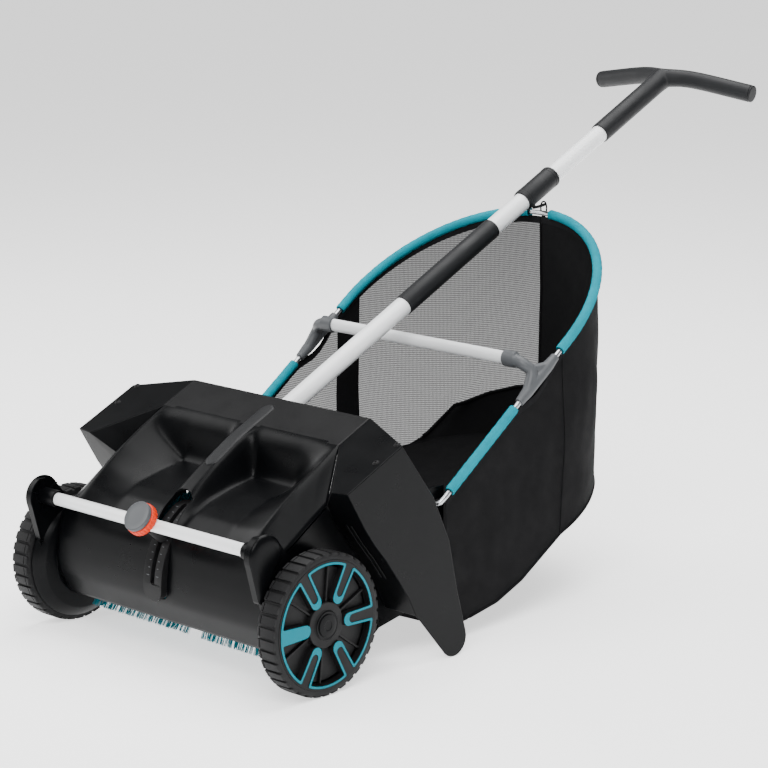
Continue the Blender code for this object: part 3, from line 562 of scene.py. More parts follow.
def on_rib(y):
    """Point on the rib's top line, and the direction out of it."""
    line = [Vector((0, p.x, p.y)) for p in TOP_LINE]
    spot = min(range(1, len(line) - 1), key=lambda i: abs(line[i].y - y) + (line[i].z < 0.15))
    along = (line[spot + 1] - line[spot - 1]).normalized()
    return line[spot], Vector((0, -along.z, along.y))


def hood():
    """Shell with a glossy front and a satin roof, the scale's opening and an oval recess in its rib."""
    item = piece("hood_shell", hood_shell(), ["black_plastic", "satin_plastic"], "housing",
                 ["hood"], smooth=50)
    thicken(item)
    bake(item)
    cut(item, drum(0.095, 0.17, 113.1, 190.0, TRACK_HALF + 0.0004, 60))
    centre, out = on_rib(-0.0225)
    end_r, end_at = 0.009, 0.0115
    recess = arc(end_r, (end_at, 0.0), -90, 90, 20) + arc(end_r, (-end_at, 0.0), 90, 270, 20)
    cut(item, sweep([centre - out * 0.012, centre + out * 0.02], [(x, -s) for s, x in recess],
                    Vector((1, 0, 0))))
    for face in item.data.polygons:
        if face.center.y - SHIFT.y > CREASE[0] + 0.002:
            face.material_index = 1
    badge()


def badge():
    """Plain rounded strip set on the rib, over the crease and on to the roof."""
    start, stop, half, lift = 0.034, 0.166, 0.0122, 0.0013
    line = [Vector((0, p.x, p.y)) for p in TOP_LINE if start <= p.x <= stop]
    spots = smooth_path(line, 2)
    rows = []
    for i, p in enumerate(spots):
        end = min((p - spots[0]).length, (p - spots[-1]).length)
        width = half if end > half else max(0.0015, math.sqrt(max(0.0, half ** 2 - (half - end) ** 2)))
        along = (spots[min(i + 1, len(spots) - 1)] - spots[max(i - 1, 0)]).normalized()
        out = Vector((0, -along.z, along.y))
        row = []
        for s in (-1, -0.94, -0.6, -0.2, 0.2, 0.6, 0.94, 1):
            rise = lift * (1 - abs(s) ** 6) if abs(s) < 1 else -0.0008
            row.append(Vector((width * s, 0, 0)) + p + out * rise)
        rows.append(row)
    first, final = [[q - Vector((0, 0, 0.0015)) for q in row] for row in (rows[0], rows[-1])]
    rows = [first] + rows + [final]
    piece("rib_badge", grid(rows), "charcoal_plastic", "housing", smooth=60)


def height_track():
    """Curved, slotted scale that the clamp slides on, with its tick marks."""
    item = piece("height_scale", drum(0.1098, TRACK_R, 113.4, 189.5, TRACK_HALF, 60), "satin_plastic",
                 "housing", ["height_track"], smooth=40)
    cut(item, drum(0.1, 0.13, 117.5, 178.0, TRACK_SLOT_HALF, 40))
    roll_edges(item, 0.0012, 3, 50, False)
    bake(item)
    ticks = bmesh.new()
    for k in range(11):
        turn = mix(122.0, 172.0, k / 10)
        long = 0.005 if k % 5 == 0 else 0.0032
        for side in (-1, 1):
            outline = (arc(TRACK_R - 0.0003, (BRUSH_Y, BRUSH_Z), turn - 0.22, turn + 0.22, 2)
                       + arc(TRACK_R + 0.0004, (BRUSH_Y, BRUSH_Z), turn + 0.22, turn - 0.22, 2))
            ends = sorted((side * 0.0072, side * (0.0072 + long)))
            merge(ticks, prism([outline], *ends))
    piece("height_ticks", ticks, "grey_plastic", "housing")


# --- side casings -------------------------------------------------------------------------------
def roof(x, y):
    """Point on the plane of the casings' sloping tops."""
    return (x, y, CREASE[1] + ROOF_SLOPE * (y - CREASE[0]))


def side_casing(name, side):
    """Folded casing beside the hood, down to its rounded foot, with screws and front ridges."""
    inner_x = HOOD_X + 0.0001
    a, b = roof(0.185, CREASE[0]), roof(0.185, 0.183)
    c, d, f = roof(PLATE_X, 0.145), roof(PLATE_X, 0.036), roof(0.256, 0.033)
    e = (inner_x, CASING_FRONT[0][0] + 0.0006, CASING_FRONT[0][1])
    front = CASING_FRONT[1:]
    foot_r = 0.026
    foot = arc(foot_r, (0.2535, foot_r), 15, -135, 16)
    rear = [(0.2104, 0.244), (0.2421, 0.1765), (0.2597, 0.0985)]
    plate = [d, c] + [(PLATE_X, *p) for p in rear + foot + [(0.19, 0.06)] + front[::-1]]
    faces = [[a, b, c, d, f], plate, [a, f, e], [e, f, d, (PLATE_X, *front[0]), (inner_x, *front[0])]]
    for (y0, z0), (y1, z1) in zip(front, front[1:]):
        faces.append([(inner_x, y0, z0), (PLATE_X, y0, z0), (PLATE_X, y1, z1), (inner_x, y1, z1)])
    bm = bmesh.new()
    for face in faces:
        bm.faces.new([bm.verts.new(p) for p in face])
    bmesh.ops.remove_doubles(bm, verts=bm.verts[:], dist=1e-5)
    item = piece(f"casing_{name}", mirrored(bm, side), "black_plastic", "housing",
                 [f"side_casing_{name}"], smooth=28)
    thicken(item, True)
    roll_edges(item, 0.0018, 3, 20)
    bake(item)
    details = bmesh.new()
    out = Vector((0, -ROOF_SLOPE, 1)).normalized()
    for x, y in ((0.2737, 0.1444), (0.2725, 0.1035)):
        head = lathe([(-0.001, 0.0), (-0.001, 0.0052), (0.0004, 0.0052), (0.0007, 0.0044), (0.0016, 0.004),
                      (0.0023, 0.0028), (0.0024, 0.0016), (0.001, 0.0013), (0.001, 0.0)], segments=28)
        merge(details, placed(head, Vector(roof(x, y)), out))
    ridge_lift = 0.0012
    for x0, x1 in ((0.2465, 0.25), (0.256, 0.259)):
        for (y0, z0), (y1, z1) in zip(front, front[1:4]):
            n = Vector((z0 - z1, y1 - y0)).normalized() * -ridge_lift
            strip = [(y0, z0), (y1, z1), (y1 + n.x, z1 + n.y), (y0 + n.x, z0 + n.y)]
            merge(details, prism([strip], x0, x1))
    piece(f"casing_details_{name}", mirrored(details, side), "satin_plastic", "housing",
          bevel=0.0004)


# --- handle -------------------------------------------------------------------------------------
def on_tube(y, drop=0.0):
    """Point on the handle tubes' centre line, or dropped square to it."""
    slope = math.atan(TUBE_SLOPE)
    z = TUBE_AT[1] + TUBE_SLOPE * (y - TUBE_AT[0])
    return Vector((0, y + drop * math.sin(slope), z - drop * math.cos(slope)))


def sleeve_on_tube(y_from, y_to, radius, ends=0.0012):
    return rod(on_tube(y_from), on_tube(y_to), radius, TUBE_R + 0.0003, ends)


def handle():
    """Two tubes joined by a sleeve, the bag's hook collar and the T grip."""
    white, grip = "white_metal", "charcoal_plastic"
    for name, y0, y1 in (("lower_tube", 0.082, 0.545), ("upper_tube", 0.5456, 1.03)):
        piece(f"handle_{name}", rod(on_tube(y0), on_tube(y1), TUBE_R, TUBE_BORE), white, "housing",
              [name])
    piece("tube_joint_sleeve", sleeve_on_tube(0.4446, 0.6457, 0.016), grip, "housing",
          ["tube_sleeve"])
    collar = sleeve_on_tube(0.7172, 0.7882, 0.0172, 0.0018)
    merge(collar, rod(on_tube(0.7365, 0.015), on_tube(0.7365, 0.0255), 0.003, segments=20))
    hook = [on_tube(0.7365, 0.0225), (0, 0.746, 0.568), (0, 0.76, 0.5683), (0, 0.7738, 0.57)]
    merge(collar, sweep(smooth_path(hook, 6), circle(0.0024, count=16), Vector((1, 0, 0))))
    for step in (0.7215, 0.7255, 0.78, 0.784):
        merge(collar, rod(on_tube(step), on_tube(step + 0.0014), 0.0175, TUBE_R + 0.0003, 0.0003))
    piece("hook_sleeve", collar, grip, "housing", ["hook_collar"])
    t_grip(grip)


def t_grip(grip):
    """Moulded T: the socket on the tube flows into two drooping arms."""
    tip, bend = Vector((0.156, 1.1026, 0.732)), Vector((0.052, 1.083, 0.748))
    middle = on_tube(1.07)
    path = smooth_path([(-tip.x, tip.y, tip.z), (-bend.x, bend.y, bend.z), middle, bend, tip], 14)
    last = len(path) - 1

    def arm_section(i):
        away = abs(i / last - 0.5) * 2
        return circle(0.0143 + 0.001 * (1 - ease(away * 2.2)), count=40)

    bm = sweep(path, arm_section)
    merge(bm, rod(on_tube(0.9054), on_tube(1.05), 0.0165, TUBE_R + 0.0004, 0.0014))
    neck = smooth_path([on_tube(1.035), on_tube(1.052), on_tube(1.07)], 8)
    merge(bm, sweep(neck, lambda i: circle(mix(0.0162, 0.018, (i / (len(neck) - 1)) ** 2), count=40)))
    item = piece("t_grip", bm, grip, "housing", ["t_handle"], smooth=60)
    one_skin(item, 0.0015, 6)
    for name, side in SIDES:
        end = Vector((side * tip.x, tip.y, tip.z))
        out = (end - Vector((side * bend.x, bend.y, bend.z))).normalized()
        profile = [(0.0004, 0.0), (0.0004, 0.0138), (0.0022, 0.0139), (0.0034, 0.0128), (0.0036, 0.01),
                   (0.0036, 0.0)]
        piece(f"grip_end_{name}", placed(lathe(profile, segments=48), end, out), grip, "housing",
              [f"grip_cap_{name}"])


# --- height adjuster ----------------------------------------------------------------------------
def head_outline(radius, keep_out):
    """Teardrop round the bar's end that clears the housing as the arm swings."""
    centre = (BAR_Y, BAR_Z)
    inner = arc(keep_out, (BRUSH_Y, BRUSH_Z), 166, 149, 8)
    return rounded(inner + arc(radius, centre, -6, 205, 40) + [(-0.088, 0.14)], 0.006)


def arm(name, side):
    """Gear cover inside the wheel that carries the bar's end in a domed, ribbed cup."""
    axle, bar = (0.0, AXLE_Z), (BAR_Y, BAR_Z)
    hole_r = AXLE_Z * 0.073
    dish = lathe([(0.2282, hole_r), (0.2282, 0.078), (0.23, 0.0806), (0.24, 0.0932), (0.2412, 0.0938),
                  (0.2434, 0.0938), (0.2434, 0.0914), (0.2414, 0.091), (0.2306, 0.0772), (0.2306, hole_r)],
                 axle, 96, closed=True)
    for radius in (0.03, 0.056):
        merge(dish, lathe([(0.2284, radius), (0.227, radius + 0.0006), (0.227, radius + 0.0024),
                           (0.2284, radius + 0.003)], axle, 96, closed=True))
    outer, inner = head_outline(0.03, 0.13), head_outline(0.0272, 0.1328)
    merge(dish, prism([outer, inner], 0.2265, 0.2372))
    dome = []
    for x, grow in ((0.2352, 1.0), (0.2378, 0.985), (0.2398, 0.94), (0.2414, 0.85), (0.2426, 0.68),
                    (0.2431, 0.4)):
        dome.append([(x, BAR_Y + (y - BAR_Y) * grow, BAR_Z + (z - BAR_Z) * grow) for y, z in outer])
    merge(dish, capped(dome))
    neck = arc(0.029, bar, 30, 195, 18) + arc(0.088, axle, 160, 105, 18)
    merge(dish, prism([neck], 0.2332, 0.2388))
    collar = lathe([(0.2, BAR_R + 0.0003), (0.2, 0.0118), (0.2006, 0.0125), (0.236, 0.0125),
                    (0.236, BAR_R + 0.0003)], bar, 48, closed=True)
    merge(dish, collar)
    for turn in (35, 95, 155, 250):
        start, stop = [arc(radius, bar, turn, turn, 2)[0] for radius in (0.012, 0.028)]
        across = Vector((stop[1] - start[1], start[0] - stop[0])).normalized() * 0.0009
        rib = [(start[0] + across.x, start[1] + across.y), (stop[0] + across.x, stop[1] + across.y),
               (stop[0] - across.x, stop[1] - across.y), (start[0] - across.x, start[1] - across.y)]
        merge(dish, prism([rib], 0.229, 0.236))
    piece(f"swing_arm_{name}", mirrored(dish, side), "black_plastic", "height_adjuster",
          [f"arm_{name}"], smooth=35, bevel=0.0007)


def radial(reach):
    """Point out from the brush axis through the bar, on the machine's middle plane."""
    turn = math.atan2(BAR_Z - BRUSH_Z, BAR_Y - BRUSH_Y)
    return Vector((0.0, BRUSH_Y + reach * math.cos(turn), BRUSH_Z + reach * math.sin(turn)))


def adjuster():
    """Cross bar on its two arms, clamped to the scale by a saddle and a knob."""
    bar = rod((-BAR_END_X, BAR_Y, BAR_Z), (BAR_END_X, BAR_Y, BAR_Z), BAR_R, BAR_BORE)
    piece("height_bar", bar, "white_metal", "height_adjuster", ["cross_bar"])
    for name, side in SIDES:
        arm(name, side)
    reach = (radial(1.0) - radial(0.0)).normalized()
    bar_reach = math.hypot(BAR_Y - BRUSH_Y, BAR_Z - BRUSH_Z)
    low, high = TRACK_R + 0.0006, bar_reach - 0.009
    saddle = lathe([(low, CLAMP_BORE), (low, 0.013), (TRACK_R + 0.003, 0.0132), (bar_reach - 0.011, 0.0112),
                    (high, 0.01), (high, CLAMP_BORE)], segments=48, closed=True)
    piece("clamp_saddle", placed(saddle, radial(0.0), reach), "satin_plastic", "height_adjuster",
          ["clamp_foot"])
    knob(reach, bar_reach + BAR_R + 0.001)


def knob(reach, base):
    """Knurled orange ring under a flat grey cap."""
    lobes, height, depth = 26, KNOB_H, 0.0011
    count = lobes * 8
    rows = []
    for x, shrink in ((0.0, 0.0012), (0.0008, 0.0003), (0.0016, 0.0), (height - 0.0016, 0.0),
                      (height - 0.0006, 0.0004), (height, 0.0014), (height, 0.012), (0.0, 0.012)):
        row = []
        for k in range(count):
            turn = math.tau * k / count
            wave = depth * (0.5 - 0.5 * math.cos(turn * lobes)) ** 2 if shrink < 0.01 else 0.0
            radius = KNOB_R - shrink - wave
            row.append((x, radius * math.cos(turn), radius * math.sin(turn)))
        rows.append(row)
    ring = grid(rows + [rows[0]], closed=True)
    bmesh.ops.remove_doubles(ring, verts=ring.verts[:], dist=1e-7)
    piece("knob_grip", placed(ring, radial(base), reach), "orange_plastic", "clamp_knob",
          ["knob_ring"], smooth=50)
    top, rim = height + KNOB_CAP_H, KNOB_CAP_R
    cap = lathe([(height + 0.0003, 0.0), (height + 0.0003, rim - 0.0018), (height + 0.0016, rim - 0.0012),
                 (height + 0.002, rim - 0.0002), (top - 0.0022, rim), (top - 0.0008, rim - 0.0006),
                 (top - 0.0002, rim - 0.0018), (top - 0.0006, rim - 0.003), (top - 0.0003, rim - 0.01),
                 (top, 0.0)], segments=72)
    piece("knob_lid", placed(cap, radial(base), reach), "grey_plastic", "clamp_knob",
          ["knob_cap"], smooth=30)


# --- wheels -------------------------------------------------------------------------------------
def star(outer, tip, narrow, wide, plain_spoke=None):
    """Closed line round the rim face, run in to a round end at each spoke."""
    points = []
    for k in range(SPOKES):
        spoke = math.tau * k / SPOKES
        root = math.asin(wide / outer)
        if k != plain_spoke:
            end = [(tip + narrow - narrow * math.sin(t), -narrow * math.cos(t))
                   for t in (math.pi * i / 12 for i in range(13))]
            for along, across in end:
                points.append((along * math.cos(spoke) - across * math.sin(spoke),
                               AXLE_Z + along * math.sin(spoke) + across * math.cos(spoke)))
        for i in range(13):
            turn = spoke + root + (math.tau / SPOKES - 2 * root) * i / 12
            points.append((outer * math.cos(turn), AXLE_Z + outer * math.sin(turn)))
    return rounded(points, 0.004, 6, 40.0)


def tyre(name, side):
    """Solid tyre with a ring of tread blocks, each with a pit near its inner edge."""
    axle = (0.0, AXLE_Z)
    body = lathe([(0.2452, RIM_R + 0.0003), (0.2452, 0.096), (0.2462, 0.0985), (0.248, TREAD_R),
                  (0.276, TREAD_R), (0.278, 0.099), (0.2788, 0.0975), (0.2788, RIM_R + 0.0003)],
                 axle, 120, closed=True)
    step = math.tau / LUGS
    for k in range(LUGS):
        half = step * 0.36 * LUG_R
        base, top = TREAD_R - 0.0006, LUG_R * math.cos(step * 0.36)
        rows = []
        for x, low, high, slim in (
                (0.2456, base - 0.002, base - 0.001, 0.8), (0.2462, base, top - 0.001, 0.9),
                (0.2478, base, top, 1.0), (0.2505, base, top, 1.0), (0.253, base, top, 1.0),
                (0.2765, base, top, 0.94), (0.278, base, top - 0.0006, 0.88),
                (0.2785, base - 0.001, base - 0.0004, 0.8)):
            w = half * slim
            rows.append([(x, -w * 1.06, low), (x, w * 1.06, low), (x, w, high), (x, -w, high)])
        lug = capped(rows)
        lug.normal_update()
        pit = [f for f in lug.faces if abs(f.calc_center_median().x - 0.25175) < 0.0004
               and f.calc_center_median().z > top - 0.0002]
        bmesh.ops.inset_individual(lug, faces=pit, thickness=0.0006, depth=0.0)
        bmesh.ops.inset_individual(lug, faces=pit, thickness=0.0001, depth=-0.0022)
        spin = Matrix.Translation((0, 0, AXLE_Z)) @ Matrix.Rotation(k * step + math.pi, 4, "X")
        bmesh.ops.transform(lug, matrix=spin, verts=lug.verts[:])
        merge(body, lug)
    piece(f"wheel_tyre_{name}", mirrored(body, side), "tyre_rubber", f"wheel_{name}",
          [f"tyre_{name}"], smooth=32)


def wheel(name, side):
    """Tyre, spoked rim with open pockets, turquoise outline and hub cap."""
    axle = (0.0, AXLE_Z)
    tyre(name, side)
    lobes = star(0.0852, 0.0322, 0.0098, 0.0112)
    back_x = POCKET_FLOOR_X - 0.0016
    rim = prism([circle(RIM_R, axle, 120), lobes], back_x, FACE_X)
    merge(rim, prism([circle(0.084, axle, 96), circle(AXLE_BORE, axle, 24)], back_x, POCKET_FLOOR_X))
    merge(rim, prism([circle(RIM_R, axle, 96), circle(0.0803, axle, 96)], 0.2478, POCKET_FLOOR_X))
    merge(rim, lathe([(0.2522, AXLE_BORE), (0.2522, 0.014), (0.2685, 0.0158), (0.2685, HUB_PLATE_R),
                      (0.2768, HUB_PLATE_R), (0.2774, HUB_PLATE_R - 0.0008), (0.2774, 0.0215),
                      (0.2786, 0.0209), (0.2786, AXLE_BORE)], axle, 96, closed=True))
    for k in range(SPOKES):
        turn = math.tau * (k + 0.5) / SPOKES - 0.1
        bar = [(0.03, -0.0014), (0.0835, -0.0014), (0.0835, 0.0014), (0.03, 0.0014)]
        c, s = math.cos(turn), math.sin(turn)
        outline = [(a * c - b * s, AXLE_Z + a * s + b * c) for a, b in bar]
        merge(rim, prism([outline], POCKET_FLOOR_X - 0.0005, POCKET_FLOOR_X + 0.0042))
    piece(f"wheel_rim_{name}", mirrored(rim, side), "satin_plastic", f"wheel_{name}",
          [f"rim_{name}"], smooth=30, bevel=0.0007)
    band = [star(0.0888, 0.0425, 0.0063, 0.008, plain_spoke=SPOKES // 2),
            star(0.0855, 0.0325, 0.0095, 0.011)]
    piece(f"wheel_line_{name}", mirrored(prism(band, 0.2796, 0.2805), side), "turquoise_plastic",
          f"wheel_{name}", [f"rim_trim_{name}"], smooth=30, bevel=0.0003)
    cap = lathe([(0.2789, 0.0), (0.2789, 0.0205), (0.2797, 0.0205), (0.2802, 0.0198), (0.2799, 0.018),
                 (0.2799, 0.0166), (0.2813, 0.0162), (0.2815, 0.0155), (0.2815, 0.0075), (0.2809, 0.0068),
                 (0.2807, 0.0)], axle, 72)
    piece(f"wheel_cap_{name}", mirrored(cap, side), "black_plastic", f"wheel_{name}",
          [f"hub_cap_{name}"], smooth=30)


# --- brush --------------------------------------------------------------------------------------
def bristles(name, side, k, rng):
    """One row of tufts: fine filaments with a little spread, bend and wear at their tips."""
    turn = math.radians(ROW_START[name]) + math.tau * k / ROWS
    out = Vector((0, math.cos(turn), math.sin(turn)))
    aside = Vector((0, -math.sin(turn), math.cos(turn)))
    centre = Vector((0, BRUSH_Y, BRUSH_Z))
    bm = bmesh.new()
    start, stop = sorted(side * x for x in ROW_ENDS)
    tufts = int((stop - start) / TUFT_PITCH)
    for i in range(tufts):
        x = mix(start, stop, (i + 0.5) / tufts)
        lean = rng.uniform(-0.0022, 0.0022)
        for _ in range(TUFT_BRISTLES):
            root = Vector((x + rng.uniform(-0.0012, 0.0012), 0, 0)) + centre + out * 0.02
            root += aside * rng.uniform(-0.0014, 0.0014)
            tip = Vector((x + lean + rng.gauss(0, 0.0016), 0, 0)) + centre
            tip += out * (TIP_R - abs(rng.gauss(0, 0.0016)))
            tip += aside * rng.gauss(0, 0.0016)
            bow = Vector((rng.uniform(-0.001, 0.001), 0, 0)) + aside * rng.uniform(-0.0015, 0.0015)
            rings = []
            for t in (0.0, 0.35, 0.7, 1.0):
                p = root.lerp(tip, t) + bow * math.sin(math.pi * t)
                r = BRISTLE_R * (1.0 - 0.25 * t)
                rings.append([bm.verts.new(p + Vector((math.cos(a), 0, 0)) * r + aside * math.sin(a) * r)
                              for a in (0.0, 2.094, 4.189)])
            for near, far in zip(rings, rings[1:]):
                for m in range(3):
                    bm.faces.new((near[m], near[(m + 1) % 3], far[(m + 1) % 3], far[m]))
            bm.faces.new(rings[-1])
            bm.faces.new(rings[0])
    base = prism([[(-0.0018, -0.009), (0.0018, -0.009), (0.0018, 0.0012), (-0.0018, 0.0012)]], start, stop)
    stand = Matrix(((1, 0, 0, 0), (0, aside.y, out.y, 0), (0, aside.z, out.z, 0), (0, 0, 0, 1)))
    bmesh.ops.transform(base, matrix=Matrix.Translation(centre + out * 0.0215) @ stand, verts=base.verts[:])
    merge(bm, base)
    piece(f"bristles_{name}_{k + 1}", bm, "turquoise_bristle", "brush",
          [f"bristle_strip_{name}_{k + 1}"], smooth=60)


# --- bag ----------------------------------------------------------------------------------------
HOOP_NORMAL = Vector((0, -HOOP_SLOPE, 1)).normalized()
BAG_FLOOR = [(0.29, 0.024), (0.34, 0.027), (0.403, 0.0385), (0.458, 0.0605), (0.548, 0.115),
             (0.66, 0.1575), (0.763, 0.185)]
ARCH = [(0.0, 0.275), (0.043, 0.268), (0.092, 0.252), (0.144, 0.227), (0.178, 0.18),
        (0.24, 0.12)]
SEAM_S, BAND_S = 0.95, (0.907, 1.075)
HEM_DROP, LIP = 0.0055, 0.042


def hoop_point(s, side=1):
    """Half of the hoop from a leg's lower end (0) through the turn (1) to the apex (2)."""
    if s <= 1:
        x, y = HOOP_X, LEG_Y + (HOOP_TURN_Y - LEG_Y) * s
    else:
        turn = (s - 1) * math.pi / 2
        x, y = HOOP_X * math.cos(turn), HOOP_TURN_Y + (HOOP_APEX_Y - HOOP_TURN_Y) * math.sin(turn)
    return Vector((x * side, y, HOOP_Z0 + HOOP_SLOPE * y))


def hoop_run(start, stop, side=1, step=0.02):
    """Points of the hoop between two stations."""
    count = max(2, round((stop - start) / step))
    return [hoop_point(mix(start, stop, i / count), side) for i in range(count + 1)]


def outward(s, side):
    """Level direction out of the bag at one station of the hoop."""
    if s <= 1:
        return Vector((side, 0, 0))
    p = hoop_point(s, side)
    depth = HOOP_APEX_Y - HOOP_TURN_Y
    return Vector((p.x / HOOP_X ** 2, (p.y - HOOP_TURN_Y) / depth ** 2, 0)).normalized()


def wall_top(s):
    """The cloth hangs just under its hem, and lower where the connector leaves the wire bare."""
    gap = 0.013 * math.sin(math.pi * (s - 0.55) / 0.38) ** 2 if 0.55 < s < 0.93 else 0.0
    return hoop_point(s).z - HEM_DROP - gap


def wall_bottom(s):
    """Height of the bag's floor under one station."""
    return between(BAG_FLOOR, hoop_point(s).y)


def drape(s, side, z):
    """How far the cloth stands out of its plain shape: billow, slack waves and a few folds."""
    low, high = wall_bottom(s), wall_top(s)
    t = min(1.0, max(0.0, (z - low) / max(0.02, high - low)))
    free = math.sin(math.pi * t)
    p = hoop_point(s, side)
    wave = noise.noise(Vector((p.x * 11, p.y * 11, z * 7)))
    fine = noise.noise(Vector((p.x * 34 + 5, p.y * 34, z * 16)))
    pull = math.sin(s * 19 + z * 30 * side) * (1 - t) * 0.5
    fold = 0.0
    if side < 0 and s > 1.2:
        fold = crease_line(p.x, z, (-0.172, 0.18), (-0.128, 0.262), 0.0075) * 0.0085
        fold -= crease_line(p.x, z, (-0.155, 0.205), (-0.098, 0.272), 0.008) * 0.006
        fold += crease_line(p.x, z, (-0.12, 0.245), (-0.105, 0.345), 0.011) * 0.003
    return free * (0.0035 + 0.0055 * wave + 0.0022 * fine + 0.0016 * pull) + fold


def crease_line(x, z, start, stop, width):
    """1 on a line between two points of a wall, fading to 0 away from it and at its ends."""
    a, b, p = Vector(start), Vector(stop), Vector((x, z))
    t = (p - a).dot(b - a) / (b - a).length_squared
    if not -0.15 < t < 1.15:
        return 0.0
    return math.exp(-((p - a.lerp(b, t)).length / width) ** 2) * math.sin(math.pi * (t + 0.15) / 1.3)


def cloth(name, side, s_from, s_to, low, high, mat):
    """Panel of the bag's wall between two stations and two height functions, cut to its own size."""
    columns = max(6, round((s_to - s_from) / 0.02))
    levels = 44
    rows, uvs, run, last = [], [], 0.0, None
    for i in range(columns + 1):
        s = mix(s_from, s_to, i / columns)
        p, out = hoop_point(s, side), outward(s, side)
        run += (Vector((p.x, p.y, 0)) - last).length if last else 0.0
        last = Vector((p.x, p.y, 0))
        z0, z1 = low(s), high(s)
        z1 = max(z1, z0 + 0.001)
        heights = [mix(z0, z1, k / levels) for k in range(levels + 1)]
        rows.append([Vector((p.x, p.y, z)) + out * drape(s, side, z) for z in heights])
        uvs.append([(run, z) for z in heights])
    item = piece(name, grid(rows, uvs), mat, "bag", smooth=180)
    heights = [v for column in uvs for _, v in column]
    area = sum((b[0][0] - a[0][0]) * (a[-1][1] - a[0][1] + b[-1][1] - b[0][1]) / 2
               for a, b in zip(uvs, uvs[1:]))
    return item, (run, max(heights) - min(heights)), area


def arch(s):
    """Height of the arched seam on the rear wall, never under the bag's floor."""
    return max(between(ARCH, abs(hoop_point(s).x)), wall_bottom(s) + 0.002)


def hem_section(fat):
    """Sewn sleeve round the wire: a tube drawn down into a flat seam."""
    points = []
    for k in range(28):
        turn = math.tau * k / 28
        across, up = fat * math.cos(turn), fat * math.sin(turn)
        points.append((up if up > 0 else up * 1.15, across * (1.0 if up > -0.3 * fat else 0.72)))
    return points


def hem(name, start, stop, side, stands_for):
    """Turquoise sleeve on the wire, gently puckered along its stitching."""
    path = hoop_run(start, stop, side, 0.006)
    bm = bmesh.new()
    layer = bm.loops.layers.uv.new("UVMap")
    rings, run, last = [], 0.0, path[0]
    for i, p in enumerate(path):
        run += (p - last).length
        last = p
        ahead = (path[min(i + 1, len(path) - 1)] - path[max(i - 1, 0)]).normalized()
        up = (HOOP_NORMAL - ahead * HOOP_NORMAL.dot(ahead)).normalized()
        across = ahead.cross(up)
        pucker = 1.0 + 0.035 * noise.noise(Vector((run * 55, side, 0))) + 0.02 * math.sin(run * 420)
        end = min(run, 0.003) / 0.003 if i < len(path) / 2 else 1.0
        ring = [p + (up * a + across * b) * pucker * mix(0.93, 1.0, end) for a, b in hem_section(0.0076)]
        rings.append(([bm.verts.new(q) for q in ring], run))
    count = len(rings[0][0])
    for (near, u0), (far, u1) in zip(rings, rings[1:]):
        for k in range(count):
            j = (k + 1) % count
            face = bm.faces.new((near[k], near[j], far[j], far[k]))
            for loop, uv in zip(face.loops, ((u0, k), (u0, k + 1), (u1, k + 1), (u1, k))):
                loop[layer].uv = (uv[0], uv[1] * 0.0017)
    for ring, inward in ((rings[0], 1), (rings[-1], -1)):
        ahead = (path[1] - path[0]).normalized() if inward > 0 else (path[-2] - path[-1]).normalized()
        spot = path[0] if inward > 0 else path[-1]
        inner = [bm.verts.new(spot + (v.co - spot) * 0.62 + ahead * 0.0015) for v in ring[0]]
        for k in range(count):
            j = (k + 1) % count
            bm.faces.new((ring[0][k], ring[0][j], inner[j], inner[k]))
    return piece(name, bm, "turquoise_fabric", "bag", stands_for, smooth=60)


def ribbon(name, side, width, offset):
    """Flat tape sewn along the wall's top edge."""
    count = 167
    rows, uvs, run, last = [], [], 0.0, None
    for i in range(count + 1):
        s = 2.0 * i / count
        z = wall_top(s)
        p, out = hoop_point(s, side), outward(s, side)
        centre = Vector((p.x, p.y, z))
        run += (centre - last).length if last else 0.0
        last = centre
        lift = offset + 0.0003 * math.sin(run * 300)
        rows.append([Vector((p.x, p.y, z - width * t)) + out * (drape(s, side, z - width * t) + lift)
                     for t in (0.0, 0.25, 0.5, 0.75, 1.0)])
        uvs.append([(run, width * t) for t in (0.0, 0.25, 0.5, 0.75, 1.0)])
    item = piece(name, grid(rows, uvs), "binding_fabric", "bag", smooth=180)


def seam(name, path, radius):
    """Rolled seam along a path."""
    roll = sweep(path, circle(radius, count=10), Vector((0, 1, 0)))
    piece(name, roll, "binding_fabric", "bag", smooth=70)


def on_wall(s, side, z, lift=0.0):
    """Point on the draped cloth, or lifted off it."""
    return Vector((*hoop_point(s, side).xy, z)) + outward(s, side) * (drape(s, side, z) + lift)


def bag_floor():
    """Sagging floor between the walls' lower edges, with the low lip at the front."""
    rows, uvs, run, last = [], [], 0.0, None
    for i in range(49):
        y = LEG_Y + (HOOP_APEX_Y - 0.002 - LEG_Y) * i / 48
        z = between(BAG_FLOOR, y)
        if y <= HOOP_TURN_Y:
            half = HOOP_X
        else:
            past = (y - HOOP_TURN_Y) / (HOOP_APEX_Y - HOOP_TURN_Y)
            half = HOOP_X * math.sqrt(max(0.0004, 1 - past ** 2))
        run += math.hypot(y - last[0], z - last[1]) if last else 0.0
        last = (y, z)
        row, uv = [], []
        for k in range(37):
            t = k / 36 * 2 - 1
            sag = 0.005 * (1 - t * t) + 0.003 * (1 - t ** 4) * noise.noise(Vector((t * 5, y * 17, 3)))
            row.append(Vector((half * t, y, z - sag + 0.001)))
            uv.append((half * t, run))
        rows.append(row)
        uvs.append(uv)
    item = piece("bag_floor_panel", grid(rows, uvs), "black_fabric", "bag", ["bag_fabric"],
                 smooth=180)
    foot_z = BAG_FLOOR[0][1]
    lip_rows = []
    for j in range(7):
        y, z = LEG_Y - 0.0015 * math.sin(math.pi * j / 6), mix(foot_z, foot_z + LIP, j / 6)
        lip_rows.append([Vector((HOOP_X * (k / 36 * 2 - 1), y, z)) for k in range(37)])
    lip_uvs = [[(p.x, p.z) for p in row] for row in lip_rows]
    lip = piece("bag_front_lip", grid(lip_rows, lip_uvs), "binding_fabric", "bag",
                smooth=180)


